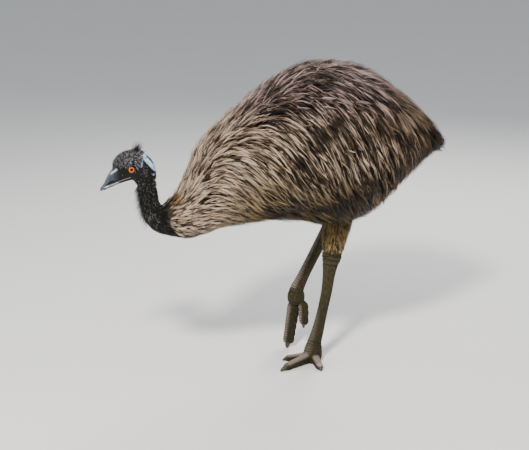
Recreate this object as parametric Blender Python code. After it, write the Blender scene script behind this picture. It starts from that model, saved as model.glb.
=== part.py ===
"""A standing emu at life size, stepping forward with its neck bent down and its right foot lifted.

Metres, +Z up. The bird faces -X and its left side faces -Y. The origin is on the floor, under the
joint of the toes of the left foot, on which the bird stands.
"""
import math
import random

import bpy
import bmesh
import numpy as np

GAP = 0.0003
FLOOR = 0.0

# Body, as seen from the side: ridge x and z, belly x and z, half width. The first row is the end
# of the neck and the last the tip of the tail. These are the tips of the coat.
BODY = (
    (-0.575, 0.654, -0.520, 0.539, 0.058),
    (-0.525, 0.702, -0.475, 0.530, 0.084),
    (-0.489, 0.774, -0.420, 0.534, 0.118),
    (-0.436, 0.868, -0.350, 0.556, 0.162),
    (-0.330, 0.952, -0.270, 0.562, 0.205),
    (-0.200, 1.040, -0.180, 0.566, 0.236),
    (-0.083, 1.098, -0.070, 0.548, 0.250),
    (0.050, 1.114, 0.050, 0.522, 0.250),
    (0.184, 1.085, 0.170, 0.538, 0.236),
    (0.300, 1.014, 0.270, 0.598, 0.204),
    (0.400, 0.932, 0.370, 0.678, 0.162),
    (0.472, 0.856, 0.452, 0.735, 0.106),
    (0.514, 0.800, 0.506, 0.768, 0.034),
)
BODY_RINGS = 18
BODY_SIDES = 14
TAIL_START = 9.9

# The coat: a core under the tips, and locks of feathers rooted in it, out to the tips. Locks are
# smallest by the neck. The lie falls more steeply down the flanks towards the rear.
COAT_SEED = 8
COAT_DEPTH = 0.032
FULL_DEPTH_AT = 2.5
DEPTH_OF_HALF_WIDTH = 0.42
CORE_END = 11.5

# A lock's stations: share of its length, and share of the coat's depth reached there. The root
# lies under the core by the sink.
LOCK_LENGTH = 0.200
LOCK_WIDTH = 0.094
LOCK_THICKNESS = 0.009
LOCK_SINK = 0.012
LOCK_ROOT = 0.0
LOCK_STATIONS = ((0.0, LOCK_ROOT), (0.32, 0.25), (0.66, 0.66), (1.0, 0.97))
LOCK_WIDTHS = (0.62, 1.0, 0.66)
LOCK_THICKNESSES = (1.0, 0.9, 0.6)
LENGTH_SPREAD = 0.12
WIDTH_SPREAD = 0.15
LEAN_SPREAD = 0.10
PATH_STEPS = 12
PATH_END = 0.35

# Rows of locks, in places along the body, and how far each lock strays from its row and column.
FIRST_ROW = 0.24
LAST_ROW = 0.7
FEWEST_LOCKS = 6
NECK_SCALE = 0.36
FULL_SCALE_AT = 4.2
ROW_STEP = 0.096
COLUMN_STEP = 0.106
STRAY = 0.10
TURN_STRAY = 0.16
FALL_FRONT = 0.35
FALL_REAR = 1.7
FALL_CURVE = 0.7
TAIL_REACH = 0.030
TAIL_DROOP = 0.35

# A folded wing on each flank, parted from the coat by a thin cut: place along the body, angle
# from the ridge and half width of the wing in degrees. One place is about a place length long.
WING = (
    (3.55, 76.0, 6.0),
    (3.90, 80.0, 12.0),
    (4.60, 86.0, 15.0),
    (5.40, 93.0, 12.0),
    (6.10, 99.0, 5.0),
)
WING_DEPTH = 0.012
WING_OUTSIDE = 0.060
PLACE_LENGTH = 0.1
FLANK_RADIUS = 0.2
BLOCK_SIZE = 0.5

# Neck, from the head down to the body: back x and z, front x and z, half width.
NECK = (
    (-0.5995, 0.728, -0.6655, 0.728, 0.0310),
    (-0.5965, 0.702, -0.6600, 0.695, 0.0290),
    (-0.5940, 0.682, -0.6535, 0.660, 0.0290),
    (-0.5900, 0.669, -0.6455, 0.625, 0.0310),
    (-0.5840, 0.661, -0.6290, 0.590, 0.0360),
    (-0.5790, 0.657, -0.6000, 0.565, 0.0440),
    (-0.5765, 0.655, -0.5620, 0.551, 0.0520),
    (-0.5750, 0.654, -0.5200, 0.539, 0.0580),
)
NECK_SPLITS = (0, 2, 4, 7)
NECK_NAMES = ("neck_upper", "neck_middle", "neck_lower")
NECK_SIDES = 18

# The head is turned away from the body's line. Its sizes are a distance forward from the middle
# of the neck's top and a height above the floor.
HEAD_X = -0.637
HEAD_YAW = math.radians(22.0)
SKULL = (
    (-0.0400, 0.728, 0.0285, 0.728, 0.0310),
    (-0.0360, 0.752, 0.0340, 0.739, 0.0320),
    (-0.0370, 0.782, 0.0400, 0.748, 0.0335),
    (-0.0260, 0.812, 0.0480, 0.750, 0.0350),
    (-0.0040, 0.837, 0.0580, 0.747, 0.0355),
    (0.0260, 0.850, 0.0680, 0.744, 0.0345),
    (0.0580, 0.847, 0.0760, 0.741, 0.0315),
    (0.0840, 0.836, 0.0840, 0.738, 0.0270),
    (0.1010, 0.813, 0.0905, 0.736, 0.0225),
    (0.1067, 0.784, 0.0960, 0.735, 0.0195),
)
UPPER_BILL = (
    (0.1067, 0.7840, 0.0985, 0.7460, 0.0190),
    (0.1160, 0.7700, 0.1100, 0.7405, 0.0160),
    (0.1263, 0.7530, 0.1220, 0.7345, 0.0125),
    (0.1370, 0.7360, 0.1340, 0.7280, 0.0080),
    (0.1440, 0.7230, 0.1410, 0.7190, 0.0040),
    (0.1476, 0.7150, 0.1460, 0.7132, 0.0015),
)
LOWER_BILL = (
    (0.0983, 0.7450, 0.0960, 0.7350, 0.0180),
    (0.1095, 0.7395, 0.1060, 0.7320, 0.0150),
    (0.1205, 0.7335, 0.1180, 0.7260, 0.0110),
    (0.1320, 0.7270, 0.1300, 0.7190, 0.0060),
    (0.1385, 0.7190, 0.1375, 0.7165, 0.0015),
)
HEAD_SIDES = 16
BILL_SIDES = 14
EYE = (0.042, 0.0265, 0.789)
EYE_RADIUS = 0.0135
EYE_RINGS = 6
EYE_SIDES = 12
LID_RADIUS = 0.0130
LID_THICKNESS = 0.0026
LID_OUTWARD = 0.0100
LID_LONG = 1.12
LID_TALL = 0.92
LID_SEGMENTS = 12
LID_SIDES = 4
EAR = (0.002, 0.034, 0.774)
EAR_RADII = (0.0075, 0.0050, 0.0095)
NOSTRIL = (0.1146, 0.0145, 0.7570)
NOSTRIL_RADII = (0.0060, 0.0040, 0.0022)
NOSTRIL_TILT = -0.8
HOLE_RINGS = 6
HOLE_SIDES = 10
MOUTH_BACK = (0.046, 0.768)
MOUTH_FRONT = (0.100, 0.7455)
MOUTH_OVERRUN = 0.020
MOUTH_HALF_HEIGHT = 0.0007
MOUTH_LEFTS = (0.0180, 0.0500)

# Legs: points x, y, z with the half size fore and aft and the half size across.
LEFT_THIGH = (
    (0.070, -0.050, 0.640, 0.085, 0.068),
    (0.067, -0.042, 0.565, 0.063, 0.056),
    (0.064, -0.034, 0.505, 0.050, 0.047),
    (0.062, -0.026, 0.462, 0.044, 0.041),
    (0.060, -0.022, 0.425, 0.037, 0.035),
)
LEFT_SHANK = (
    (0.060, -0.022, 0.425, 0.0340, 0.0320),
    (0.062, -0.021, 0.403, 0.0325, 0.0300),
    (0.057, -0.020, 0.374, 0.0270, 0.0250),
    (0.050, -0.018, 0.335, 0.0225, 0.0200),
    (0.040, -0.015, 0.270, 0.0205, 0.0175),
    (0.023, -0.010, 0.180, 0.0195, 0.0170),
    (0.010, -0.004, 0.120, 0.0210, 0.0190),
    (0.003, 0.000, 0.082, 0.0260, 0.0225),
)
LEFT_FOOT = (
    (0.003, 0.000, 0.082, 0.0255, 0.0220),
    (-0.002, 0.000, 0.058, 0.0310, 0.0270),
    (-0.006, 0.000, 0.030, 0.0350, 0.0310),
    (-0.004, 0.000, 0.010, 0.0330, 0.0290),
    (0.000, 0.000, 0.000, 0.0290, 0.0260),
)

# Room for each leg in the body: wider where its own locks start. These locks hang over the knee,
# with stations of a share of their length and a height over the leg.
THIGH_ROOM = (GAP, GAP, GAP + 0.010, GAP + 0.012, GAP + 0.014)
THIGH_SEED = 4
THIGH_LOCK_ROWS = (1.0, 0.45)
THIGH_LOCKS = 7
THIGH_LOCK_LENGTH = 0.050
THIGH_LOCK_WIDTH = 0.016
THIGH_LOCK_STATIONS = ((0.0, -0.006), (0.35, 0.004), (0.7, 0.008), (1.0, 0.008))
THIGH_LOCK_WIDTHS = (0.7, 1.0, 0.7)
THIGH_LOCK_THICKNESSES = (0.006, 0.006, 0.004)
THIGH_TURN_STRAY = 0.12
THIGH_LENGTH_SPREAD = 0.05

RIGHT_THIGH = (
    (0.050, 0.064, 0.735, 0.072, 0.064),
    (0.088, 0.092, 0.672, 0.062, 0.056),
    (0.116, 0.112, 0.618, 0.052, 0.048),
    (0.138, 0.127, 0.578, 0.044, 0.041),
    (0.152, 0.136, 0.548, 0.037, 0.035),
)
RIGHT_SHANK = (
    (0.152, 0.136, 0.548, 0.0340, 0.0320),
    (0.156, 0.138, 0.526, 0.0325, 0.0300),
    (0.140, 0.139, 0.496, 0.0270, 0.0250),
    (0.121, 0.140, 0.463, 0.0235, 0.0205),
    (0.090, 0.142, 0.406, 0.0225, 0.0185),
    (0.048, 0.145, 0.330, 0.0215, 0.0180),
    (0.020, 0.148, 0.276, 0.0225, 0.0195),
    (0.002, 0.150, 0.240, 0.0265, 0.0230),
)
RIGHT_FOOT = (
    (0.002, 0.150, 0.240, 0.0260, 0.0225),
    (-0.003, 0.150, 0.218, 0.0330, 0.0270),
    (-0.003, 0.150, 0.196, 0.0330, 0.0285),
    (-0.001, 0.150, 0.180, 0.0250, 0.0240),
)
LEG_SIDES = 10
SHANK_SMOOTH_PLACES = (0.0, 0.6, 1.2, 2.0, 2.8, 3.4)
SHANK_SCUTES = 11
SHANK_SCUTES_START = 3.6
SHANK_SCUTES_END = 6.95
SCUTE_EDGE = 0.85
SCUTE_RISE = 1.10

# Toes: name, points along its middle, half width and half height at its root and its end.
LEFT_TOES = (
    ("inner", ((-0.010, 0.006, 0.030), (-0.042, 0.020, 0.018), (-0.085, 0.040, 0.0115)),
     (0.0125, 0.0085), (0.0150, 0.0110)),
    ("middle", ((-0.010, -0.003, 0.034), (-0.046, -0.013, 0.022), (-0.128, -0.036, 0.0125)),
     (0.0175, 0.0120), (0.0200, 0.0130)),
    ("outer", ((-0.004, -0.010, 0.032), (-0.012, -0.041, 0.020), (-0.018, -0.080, 0.0120)),
     (0.0165, 0.0125), (0.0175, 0.0125)),
)
RIGHT_TOES = (
    ("inner", ((0.006, 0.143, 0.205), (0.016, 0.129, 0.168), (0.016, 0.124, 0.116)),
     (0.0125, 0.0095), (0.0150, 0.0125)),
    ("middle", ((-0.008, 0.150, 0.200), (-0.013, 0.156, 0.158), (-0.029, 0.163, 0.034)),
     (0.0175, 0.0120), (0.0225, 0.0165)),
    ("outer", ((0.000, 0.160, 0.205), (0.006, 0.190, 0.168), (0.008, 0.205, 0.112)),
     (0.0165, 0.0125), (0.0175, 0.0125)),
)
TOE_ROOT_RINGS = 4
TOE_SIDES = 8
TOE_SCUTES = 6
TOE_SCUTE_RISE = 1.09
TOE_FRONT_STANDING = (0.0, 0.0, 1.0)
TOE_FRONT_LIFTED = (-1.0, 0.0, 0.35)
CLAW_LENGTH = {"inner": 0.024, "middle": 0.032, "outer": 0.022}
CLAW_SHARES = (0.0, 0.35, 0.7, 1.0)
CLAW_ROOT_SIZE = 0.86
CLAW_TAPER = 0.62
CLAW_DROOP = 0.006
CLAW_TOUCHES_UNDER = 0.002

BOX_FACES = ((0, 1, 2, 3), (4, 5, 6, 7), (0, 1, 5, 4), (1, 2, 6, 5), (2, 3, 7, 6), (3, 0, 4, 7))

# Red, green and blue, then roughness and metallic value.
COLOURS = {
    "coat": (0.150, 0.105, 0.066, 0.85, 0.0),
    "dark_coat": (0.022, 0.019, 0.018, 0.8, 0.0),
    "bill": (0.045, 0.048, 0.055, 0.4, 0.0),
    "eye": (0.300, 0.090, 0.015, 0.1, 0.0),
    "leg_skin": (0.120, 0.085, 0.062, 0.6, 0.0),
    "claw": (0.030, 0.026, 0.024, 0.4, 0.0),
}


def clear_objects():
    """Start from an empty file."""
    for item in list(bpy.data.objects):
        bpy.data.objects.remove(item, do_unlink=True)


def material(kind):
    """One Principled material for each object, in the colour of its kind."""
    red, green, blue, roughness, metallic = COLOURS[kind]
    result = bpy.data.materials.new(kind)
    result.use_nodes = True
    shader = result.node_tree.nodes["Principled BSDF"]
    shader.inputs["Base Color"].default_value = (red, green, blue, 1.0)
    shader.inputs["Roughness"].default_value = roughness
    shader.inputs["Metallic"].default_value = metallic
    return result


def make_object(name, vertices, faces, kind=None):
    """An object from vertices and faces, with its faces turned out and shaded smooth."""
    mesh = bpy.data.meshes.new(name)
    mesh.from_pydata([tuple(float(value) for value in vertex) for vertex in vertices], [], faces)
    work = bmesh.new()
    work.from_mesh(mesh)
    bmesh.ops.recalc_face_normals(work, faces=work.faces)
    work.to_mesh(mesh)
    work.free()
    mesh.shade_smooth()
    result = bpy.data.objects.new(name, mesh)
    bpy.context.scene.collection.objects.link(result)
    if kind:
        result.data.materials.append(material(kind))
    return result


def smooth_row(rows, place):
    """The row at a place between the given rows, on a curve through all of them."""
    table = np.asarray(rows, dtype=float)
    last = len(table) - 1
    place = min(max(place, 0.0), float(last))
    index = min(int(place), last - 1)
    step = place - index
    near, far = table[index], table[index + 1]
    before = table[index - 1] if index > 0 else 2.0 * near - far
    after = table[index + 2] if index + 2 <= last else 2.0 * far - near
    slope_near = 0.5 * (far - before)
    slope_far = 0.5 * (after - near)
    square, cube = step * step, step * step * step
    return ((2 * cube - 3 * square + 1) * near + (cube - 2 * square + step) * slope_near
            + (3 * square - 2 * cube) * far + (cube - square) * slope_far)


def unit(vector):
    """The vector at length one."""
    return np.asarray(vector, dtype=float) / np.linalg.norm(vector)


def tube_mesh(rings):
    """Vertices and triangles of a closed tube through rings of points, with flat ends."""
    sides = len(rings[0])
    vertices = [point for ring in rings for point in ring]
    faces = []
    for row in range(len(rings) - 1):
        for side in range(sides):
            near = row * sides + side
            beside = row * sides + (side + 1) % sides
            faces.append((near, beside, near + sides))
            faces.append((beside, beside + sides, near + sides))
    faces.append(tuple(range(sides)))
    faces.append(tuple(range((len(rings) - 1) * sides, len(rings) * sides)))
    return vertices, faces


def upright_ring(row, sides, shift=0.0):
    """A ring in the plane of two outline points, x1 z1 and x2 z2, with a half width across it."""
    first = np.array([row[0], 0.0, row[1]])
    second = np.array([row[2], 0.0, row[3]])
    middle = 0.5 * (first + second)
    reach = 0.5 * (first - second)
    centre = middle + unit([-reach[2], 0.0, reach[0]]) * shift
    wide = np.array([0.0, -row[4], 0.0])
    angles = [2.0 * math.pi * side / sides for side in range(sides)]
    return [centre + reach * math.cos(angle) + wide * math.sin(angle) for angle in angles]


def upright_tube(rows, sides):
    """Rings for outline rows, the first and last moved inward by half of the gap."""
    rings = [upright_ring(row, sides) for row in rows]
    for end, inward in ((0, 1), (-1, -2)):
        row = np.asarray(rows[end], dtype=float)
        near = np.asarray(rows[inward], dtype=float)
        run = near[0] + near[2] - row[0] - row[2]
        rise = near[1] + near[3] - row[1] - row[3]
        towards = np.array([run, 0.0, rise])
        along = np.array([-(row[1] - row[3]), 0.0, row[0] - row[2]])
        side = 1.0 if float(np.dot(along, towards)) > 0.0 else -1.0
        rings[end] = upright_ring(row, sides, side * 0.5 * GAP)
    return rings


def body_point(place, angle):
    """A point on the tips of the coat: place along the body, angle round it from the ridge."""
    row = smooth_row(BODY, place)
    first = np.array([row[0], 0.0, row[1]])
    second = np.array([row[2], 0.0, row[3]])
    reach = 0.5 * (first - second)
    across = np.array([0.0, -row[4], 0.0])
    return 0.5 * (first + second) + reach * math.cos(angle) + across * math.sin(angle)


def body_normal(place, angle):
    """The outward direction on the coat's outer shape."""
    step = 0.02
    last = len(BODY) - 1.0
    along = body_point(min(place + step, last), angle) - body_point(max(place - step, 0.0), angle)
    around = body_point(place, angle + step) - body_point(place, angle - step)
    return unit(np.cross(around, along))


def coat_depth(place):
    """How far the core lies under the tips: nothing at the neck, less where the body thins."""
    width = smooth_row(BODY, place)[4]
    return min(COAT_DEPTH * min(1.0, place / FULL_DEPTH_AT), DEPTH_OF_HALF_WIDTH * width)


def coat_point(place, angle, height):
    """A point over the core by a height. The tips of the coat lie at the coat's depth."""
    return body_point(place, angle) + body_normal(place, angle) * (height - coat_depth(place))


def core_grid():
    """Rings of points on the core under the locks."""
    grid = []
    for ring in range(BODY_RINGS):
        place = CORE_END * ring / (BODY_RINGS - 1)
        turns = [2.0 * math.pi * side / BODY_SIDES for side in range(BODY_SIDES)]
        if ring == 0:
            grid.append([body_point(place, turn) for turn in turns])
        else:
            grid.append([coat_point(place, turn, 0.0) for turn in turns])
    return grid


def shifted_ring(ring, distance):
    """A flat ring moved along its own normal, towards the tail."""
    points = np.array(ring)
    normal = unit(np.cross(points[1] - points[0], points[2] - points[0]))
    if normal[0] < 0.0:
        normal = -normal
    return [point + normal * distance for point in points]


def lie_of_coat(place, angle, normal):
    """The way the feathers lie: back along the body, and down its sides, more so to the rear."""
    step = 0.05
    last = len(BODY) - 1.0
    ahead = body_point(min(place + step, last), 0.0) + body_point(min(place + step, last), math.pi)
    behind = body_point(max(place - step, 0.0), 0.0) + body_point(max(place - step, 0.0), math.pi)
    fall = FALL_FRONT + (FALL_REAR - FALL_FRONT) * place / last
    direction = unit(ahead - behind) + np.array([0.0, 0.0, -fall * abs(math.sin(angle)) ** FALL_CURVE])
    return unit(direction - normal * float(np.dot(direction, normal)))


def lock_path(place, angle, length, steps):
    """Places and angles under a lock, any length left past the body's end, and its last direction."""
    last = len(BODY) - 1.0
    nudge = 0.01
    path = [(place, angle)]
    step = length / steps
    for index in range(steps):
        normal = body_normal(place, angle)
        direction = lie_of_coat(place, angle, normal)
        origin = body_point(place, angle)
        by_place = (body_point(min(place + nudge, last), angle) - origin) / nudge
        by_angle = (body_point(place, angle + nudge) - origin) / nudge
        change, _, _, _ = np.linalg.lstsq(np.stack([by_place, by_angle], axis=1), direction, rcond=None)
        place += step * float(change[0])
        angle += step * float(change[1])
        if place > last - PATH_END:
            return path, step * (steps - index), direction
        path.append((place, angle))
    return path, 0.0, direction


def lock_mesh(stations, widths, thicknesses, lean):
    """A flat tapered lock with a ridge along its top, through stations of a point and a normal."""
    points = [station[0] for station in stations]
    vertices, faces = [], []
    for index, (point, normal) in enumerate(stations[:-1]):
        along = unit(points[index + 1] - points[max(index - 1, 0)])
        across = unit(np.cross(normal, along) + normal * lean)
        upward = unit(np.cross(along, across))
        vertices.append(point - across * widths[index])
        vertices.append(point + upward * thicknesses[index])
        vertices.append(point + across * widths[index])
    tip = len(vertices)
    vertices.append(points[-1])
    for ring in range(len(stations) - 2):
        for side in range(3):
            near = ring * 3 + side
            beside = ring * 3 + (side + 1) % 3
            faces.append((near, beside, near + 3))
            faces.append((beside, beside + 3, near + 3))
    for side in range(3):
        faces.append((tip - 3 + side, tip - 3 + (side + 1) % 3, tip))
    faces.append((0, 1, 2))
    return make_object("lock", vertices, faces)


def coat_lock(place, angle, scale, draw):
    """One lock of the coat. A lock at the end of the body runs on past it and hangs free."""
    length = LOCK_LENGTH * scale * draw.uniform(1.0 - LENGTH_SPREAD, 1.0 + LENGTH_SPREAD)
    path, left_over, direction = lock_path(place, angle, length, PATH_STEPS)
    stations = []
    for share, rise in LOCK_STATIONS:
        spot = path[round(share * (len(path) - 1))]
        height = rise * coat_depth(spot[0])
        if rise == LOCK_ROOT:
            height = -LOCK_SINK * min(1.0, scale + 0.2)
        stations.append([coat_point(spot[0], spot[1], height), body_normal(spot[0], spot[1])])
    free = min(left_over, TAIL_REACH)
    stations[-1][0] = stations[-1][0] + direction * free + np.array([0.0, 0.0, -TAIL_DROOP * free])
    width = 0.5 * LOCK_WIDTH * scale * draw.uniform(1.0 - WIDTH_SPREAD, 1.0 + WIDTH_SPREAD)
    thick = LOCK_THICKNESS * (0.45 + 0.55 * scale)
    widths = [width * share for share in LOCK_WIDTHS]
    thicknesses = [thick * share for share in LOCK_THICKNESSES]
    return lock_mesh(stations, widths, thicknesses, draw.uniform(-LEAN_SPREAD, LEAN_SPREAD))


def coat_locks(draw):
    """Rows of locks from the neck to the tail, each row staggered on the one before."""
    locks = []
    place, row = FIRST_ROW, 0
    last = len(BODY) - 1.0
    while place < last - LAST_ROW:
        outline = smooth_row(BODY, place)
        height = math.hypot(outline[0] - outline[2], outline[1] - outline[3])
        scale = NECK_SCALE + (1.0 - NECK_SCALE) * min(1.0, place / FULL_SCALE_AT)
        girth = math.pi * (outline[4] + 0.5 * height)
        count = max(FEWEST_LOCKS, round(girth / (COLUMN_STEP * scale)))
        for column in range(count):
            stagger = 0.5 * (row % 2) + draw.uniform(-TURN_STRAY, TURN_STRAY)
            angle = 2.0 * math.pi * (column + stagger) / count
            locks.append(coat_lock(place + draw.uniform(-STRAY, STRAY), angle, scale, draw))
        here = body_point(place, 0.5 * math.pi)
        ahead = body_point(place + 0.1, 0.5 * math.pi)
        place += 0.1 * ROW_STEP * scale / float(np.linalg.norm(ahead - here))
        row += 1
    return locks


def wing_block(mirrored, grow):
    """The space of one wing: through the coat and a little into the core, in the outline of a leaf."""
    inner, outer = [], []
    last = len(WING) - 1
    for index, (place, middle, half) in enumerate(WING):
        step = 0.0 if 0 < index < last else grow / PLACE_LENGTH * (1.0 if index else -1.0)
        for side in (-1.0, 0.0, 1.0):
            angle = math.radians(middle + side * half) + side * grow / FLANK_RADIUS
            angle = -angle if mirrored else angle
            inner.append(coat_point(place + step, angle, -WING_DEPTH - grow))
            outer.append(coat_point(place + step, angle, WING_OUTSIDE))
    width, height, count = 3, len(WING), len(inner)
    faces = []
    for row in range(height - 1):
        for column in range(width - 1):
            near = row * width + column
            for base in (0, count):
                faces.append((base + near, base + near + 1, base + near + width))
                faces.append((base + near + 1, base + near + width + 1, base + near + width))
    rim = list(range(width))
    rim += [row * width + width - 1 for row in range(1, height)]
    rim += [(height - 1) * width + column for column in range(width - 2, -1, -1)]
    rim += [row * width for row in range(height - 2, 0, -1)]
    for index, near in enumerate(rim):
        far = rim[(index + 1) % len(rim)]
        faces.append((near, far, far + count))
        faces.append((near, far + count, near + count))
    return make_object("wing_block", inner + outer, faces)


def boolean(item, operation, others):
    """Apply one Boolean on a collection of closed mesh objects, and remove those objects."""
    holder = bpy.data.collections.new("cutters")
    bpy.context.scene.collection.children.link(holder)
    for other in others:
        holder.objects.link(other)
    modifier = item.modifiers.new("boolean", "BOOLEAN")
    modifier.operand_type = "COLLECTION"
    modifier.collection = holder
    modifier.operation = operation
    modifier.solver = "MANIFOLD"
    graph = bpy.context.evaluated_depsgraph_get()
    mesh = bpy.data.meshes.new_from_object(item.evaluated_get(graph))
    item.modifiers.clear()
    item.data = mesh
    for other in others:
        bpy.data.objects.remove(other, do_unlink=True)
    bpy.data.collections.remove(holder)
    keep_largest(item)
    return item


def keep_largest(item):
    """Keep only the closed surface with the largest area."""
    work = bmesh.new()
    work.from_mesh(item.data)
    bmesh.ops.triangulate(work, faces=work.faces)
    left = set(work.faces)
    groups = []
    while left:
        stack = [left.pop()]
        group = []
        while stack:
            face = stack.pop()
            group.append(face)
            for edge in face.edges:
                for near in edge.link_faces:
                    if near in left:
                        left.remove(near)
                        stack.append(near)
        groups.append(group)
    groups.sort(key=lambda group: sum(face.calc_area() for face in group))
    for group in groups[:-1]:
        bmesh.ops.delete(work, geom=group, context="FACES")
    work.to_mesh(item.data)
    work.free()
    item.data.shade_smooth()


def joint_direction(upper, lower):
    """The line of the leg where one length of it meets the next."""
    return unit(np.array(lower[1][:3]) - np.array(upper[-2][:3]))


def leg_rings(rows, start, end):
    """Rings square to the line of a leg, flat at both ends. The first point of each faces forward."""
    front = np.array([-1.0, 0.0, 0.0])
    points = [np.asarray(row, dtype=float) for row in rows]
    last = len(points) - 1
    rings = []
    for index, row in enumerate(points):
        along = unit(points[min(index + 1, last)][:3] - points[max(index - 1, 0)][:3])
        along = start if index == 0 else end if index == last else along
        forward = unit(front - along * float(np.dot(front, along)))
        across = np.cross(along, forward)
        ring = []
        for side in range(LEG_SIDES):
            angle = 2.0 * math.pi * side / LEG_SIDES
            ring.append(row[:3] + forward * row[3] * math.cos(angle) + across * row[4] * math.sin(angle))
        rings.append(ring)
    return rings


def level_ring(ring, height):
    """The ring moved into the level plane at a height."""
    return [np.array([point[0], point[1], height]) for point in ring]


def move_ring(ring, direction, distance):
    """The ring moved along a direction."""
    return [point + unit(direction) * distance for point in ring]


def ring_direction(rings, end):
    """The direction from an end ring into the tube."""
    centre = np.mean(rings[end], axis=0)
    inner = np.mean(rings[1 if end == 0 else -2], axis=0)
    return unit(inner - centre)


def along_leg(rows, place, distance):
    """The row at a distance down a leg from a place between its rows, and the leg's line there."""
    nudge = 0.02
    here = smooth_row(rows, place)
    line = smooth_row(rows, place + nudge)[:3] - here[:3]
    while distance > 0.0 and place < len(rows) - 1.0:
        place += nudge
        ahead = smooth_row(rows, place)
        line = ahead[:3] - here[:3]
        distance -= float(np.linalg.norm(line))
        here = ahead
    return here, unit(line)


def thigh_locks(rows, knee_index, draw):
    """Two rows of small locks that hang over the knee, close to the line of the whole leg."""
    down = unit(np.array(rows[knee_index][:3]) - np.array(rows[knee_index - 1][:3]))
    front = unit(np.array([-1.0, 0.0, 0.0]) + down * down[0])
    across = np.cross(down, front)
    locks = []
    for row, start in enumerate(THIGH_LOCK_ROWS):
        for column in range(THIGH_LOCKS):
            stagger = 0.5 * row + draw.uniform(-THIGH_TURN_STRAY, THIGH_TURN_STRAY)
            turn = 2.0 * math.pi * (column + stagger) / THIGH_LOCKS
            side = front * math.cos(turn) + across * math.sin(turn)
            spread = draw.uniform(1.0 - THIGH_LENGTH_SPREAD, 1.0 + THIGH_LENGTH_SPREAD)
            stations = []
            for share, height in THIGH_LOCK_STATIONS:
                distance = share * THIGH_LOCK_LENGTH * spread
                here, line = along_leg(rows, knee_index - start, distance)
                outward = unit(side - line * float(np.dot(side, line)))
                radius = min(here[3], here[4]) + height
                stations.append([here[:3] + outward * radius, outward])
            widths = [THIGH_LOCK_WIDTH * share for share in THIGH_LOCK_WIDTHS]
            locks.append(lock_mesh(stations, widths, THIGH_LOCK_THICKNESSES, 0.0))
    return locks


def thigh(name, rows, shank_rows, knee, draw):
    """The feathered upper leg, and a larger copy that cuts its place in the body and coat."""
    top = unit(np.array(rows[1][:3]) - np.array(rows[0][:3]))
    rings = leg_rings(rows, top, knee)
    rings[-1] = move_ring(rings[-1], knee, -0.5 * GAP)
    vertices, faces = tube_mesh(rings)
    item = make_object(name, vertices, faces, "coat")
    boolean(item, "UNION", thigh_locks(rows + shank_rows[1:], len(rows) - 1, draw))
    larger = [row[:3] + (row[3] + room, row[4] + room) for row, room in zip(rows, THIGH_ROOM)]
    rings = leg_rings(larger, top, knee)
    rings[0] = move_ring(rings[0], top, -GAP)
    rings[-1] = move_ring(rings[-1], knee, THIGH_ROOM[-1])
    vertices, faces = tube_mesh(rings)
    return make_object(name + "_cutter", vertices, faces)


def shank(name, rows, knee, ankle):
    """The bare lower leg, with overlapping scutes down the front of its lower part."""
    length = (SHANK_SCUTES_END - SHANK_SCUTES_START) / SHANK_SCUTES
    places = [(place, 1.0) for place in SHANK_SMOOTH_PLACES]
    for index in range(SHANK_SCUTES):
        start = SHANK_SCUTES_START + length * index
        places.append((start, 1.0))
        places.append((start + SCUTE_EDGE * length, SCUTE_RISE))
    places.append((len(rows) - 1.0, 1.0))
    dense = [smooth_row(rows, place) for place, _ in places]
    rings = leg_rings(dense, knee, ankle)
    for ring, (_, rise) in zip(rings, places):
        middle = np.mean(ring, axis=0)
        for side in (LEG_SIDES - 2, LEG_SIDES - 1, 0, 1, 2):
            ring[side] = middle + (ring[side] - middle) * rise
    rings[0] = move_ring(rings[0], knee, 0.5 * GAP)
    rings[-1] = move_ring(rings[-1], ankle, -0.5 * GAP)
    vertices, faces = tube_mesh(rings)
    return make_object(name, vertices, faces, "leg_skin")


def toe_ring(points, widths, heights, share, standing, front):
    """A ring across a toe at a share along its middle line, flat where it meets the floor."""
    here = smooth_row(points, share)
    ahead = smooth_row(points, min(share + 0.01, 2.0))
    behind = smooth_row(points, max(share - 0.01, 0.0))
    along = unit(ahead - behind)
    across = unit(np.cross(along, front))
    upward = np.cross(across, along)
    run = share / 2.0
    width = widths[0] + (widths[1] - widths[0]) * run
    height = heights[0] + (heights[1] - heights[0]) * run
    ring = []
    for side in range(TOE_SIDES):
        angle = 2.0 * math.pi * (side + 0.5) / TOE_SIDES
        point = here + upward * height * math.cos(angle) + across * width * math.sin(angle)
        if standing:
            point[2] = max(point[2], FLOOR)
        ring.append(point)
    return ring


def toe(name, points, widths, heights, standing, front):
    """A toe with raised scutes along its back and a flat sole where it stands. Returns its end."""
    places = [(1.0, 1.0)]
    for index in range(TOE_SCUTES):
        places.append((1.0 + (index + SCUTE_EDGE) / TOE_SCUTES, TOE_SCUTE_RISE))
        places.append((1.0 + (index + 1.0) / TOE_SCUTES, 1.0))
    rings = []
    for share, rise in places:
        ring = toe_ring(points, widths, heights, share, standing, front)
        middle = np.mean(ring, axis=0)
        for side in (TOE_SIDES - 2, TOE_SIDES - 1, 0, 1):
            ring[side] = middle + (ring[side] - middle) * rise
        rings.append(ring)
    rings[0] = toe_root(rings[0], points, 0.5 * GAP)
    vertices, faces = tube_mesh(rings)
    make_object(name, vertices, faces, "leg_skin")
    return rings[-1]


def toe_root(ring, points, distance):
    """The ring at a toe's root, moved along the toe."""
    direction = unit(smooth_row(points, 1.01) - smooth_row(points, 0.99))
    return [point + direction * distance for point in ring]


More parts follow.
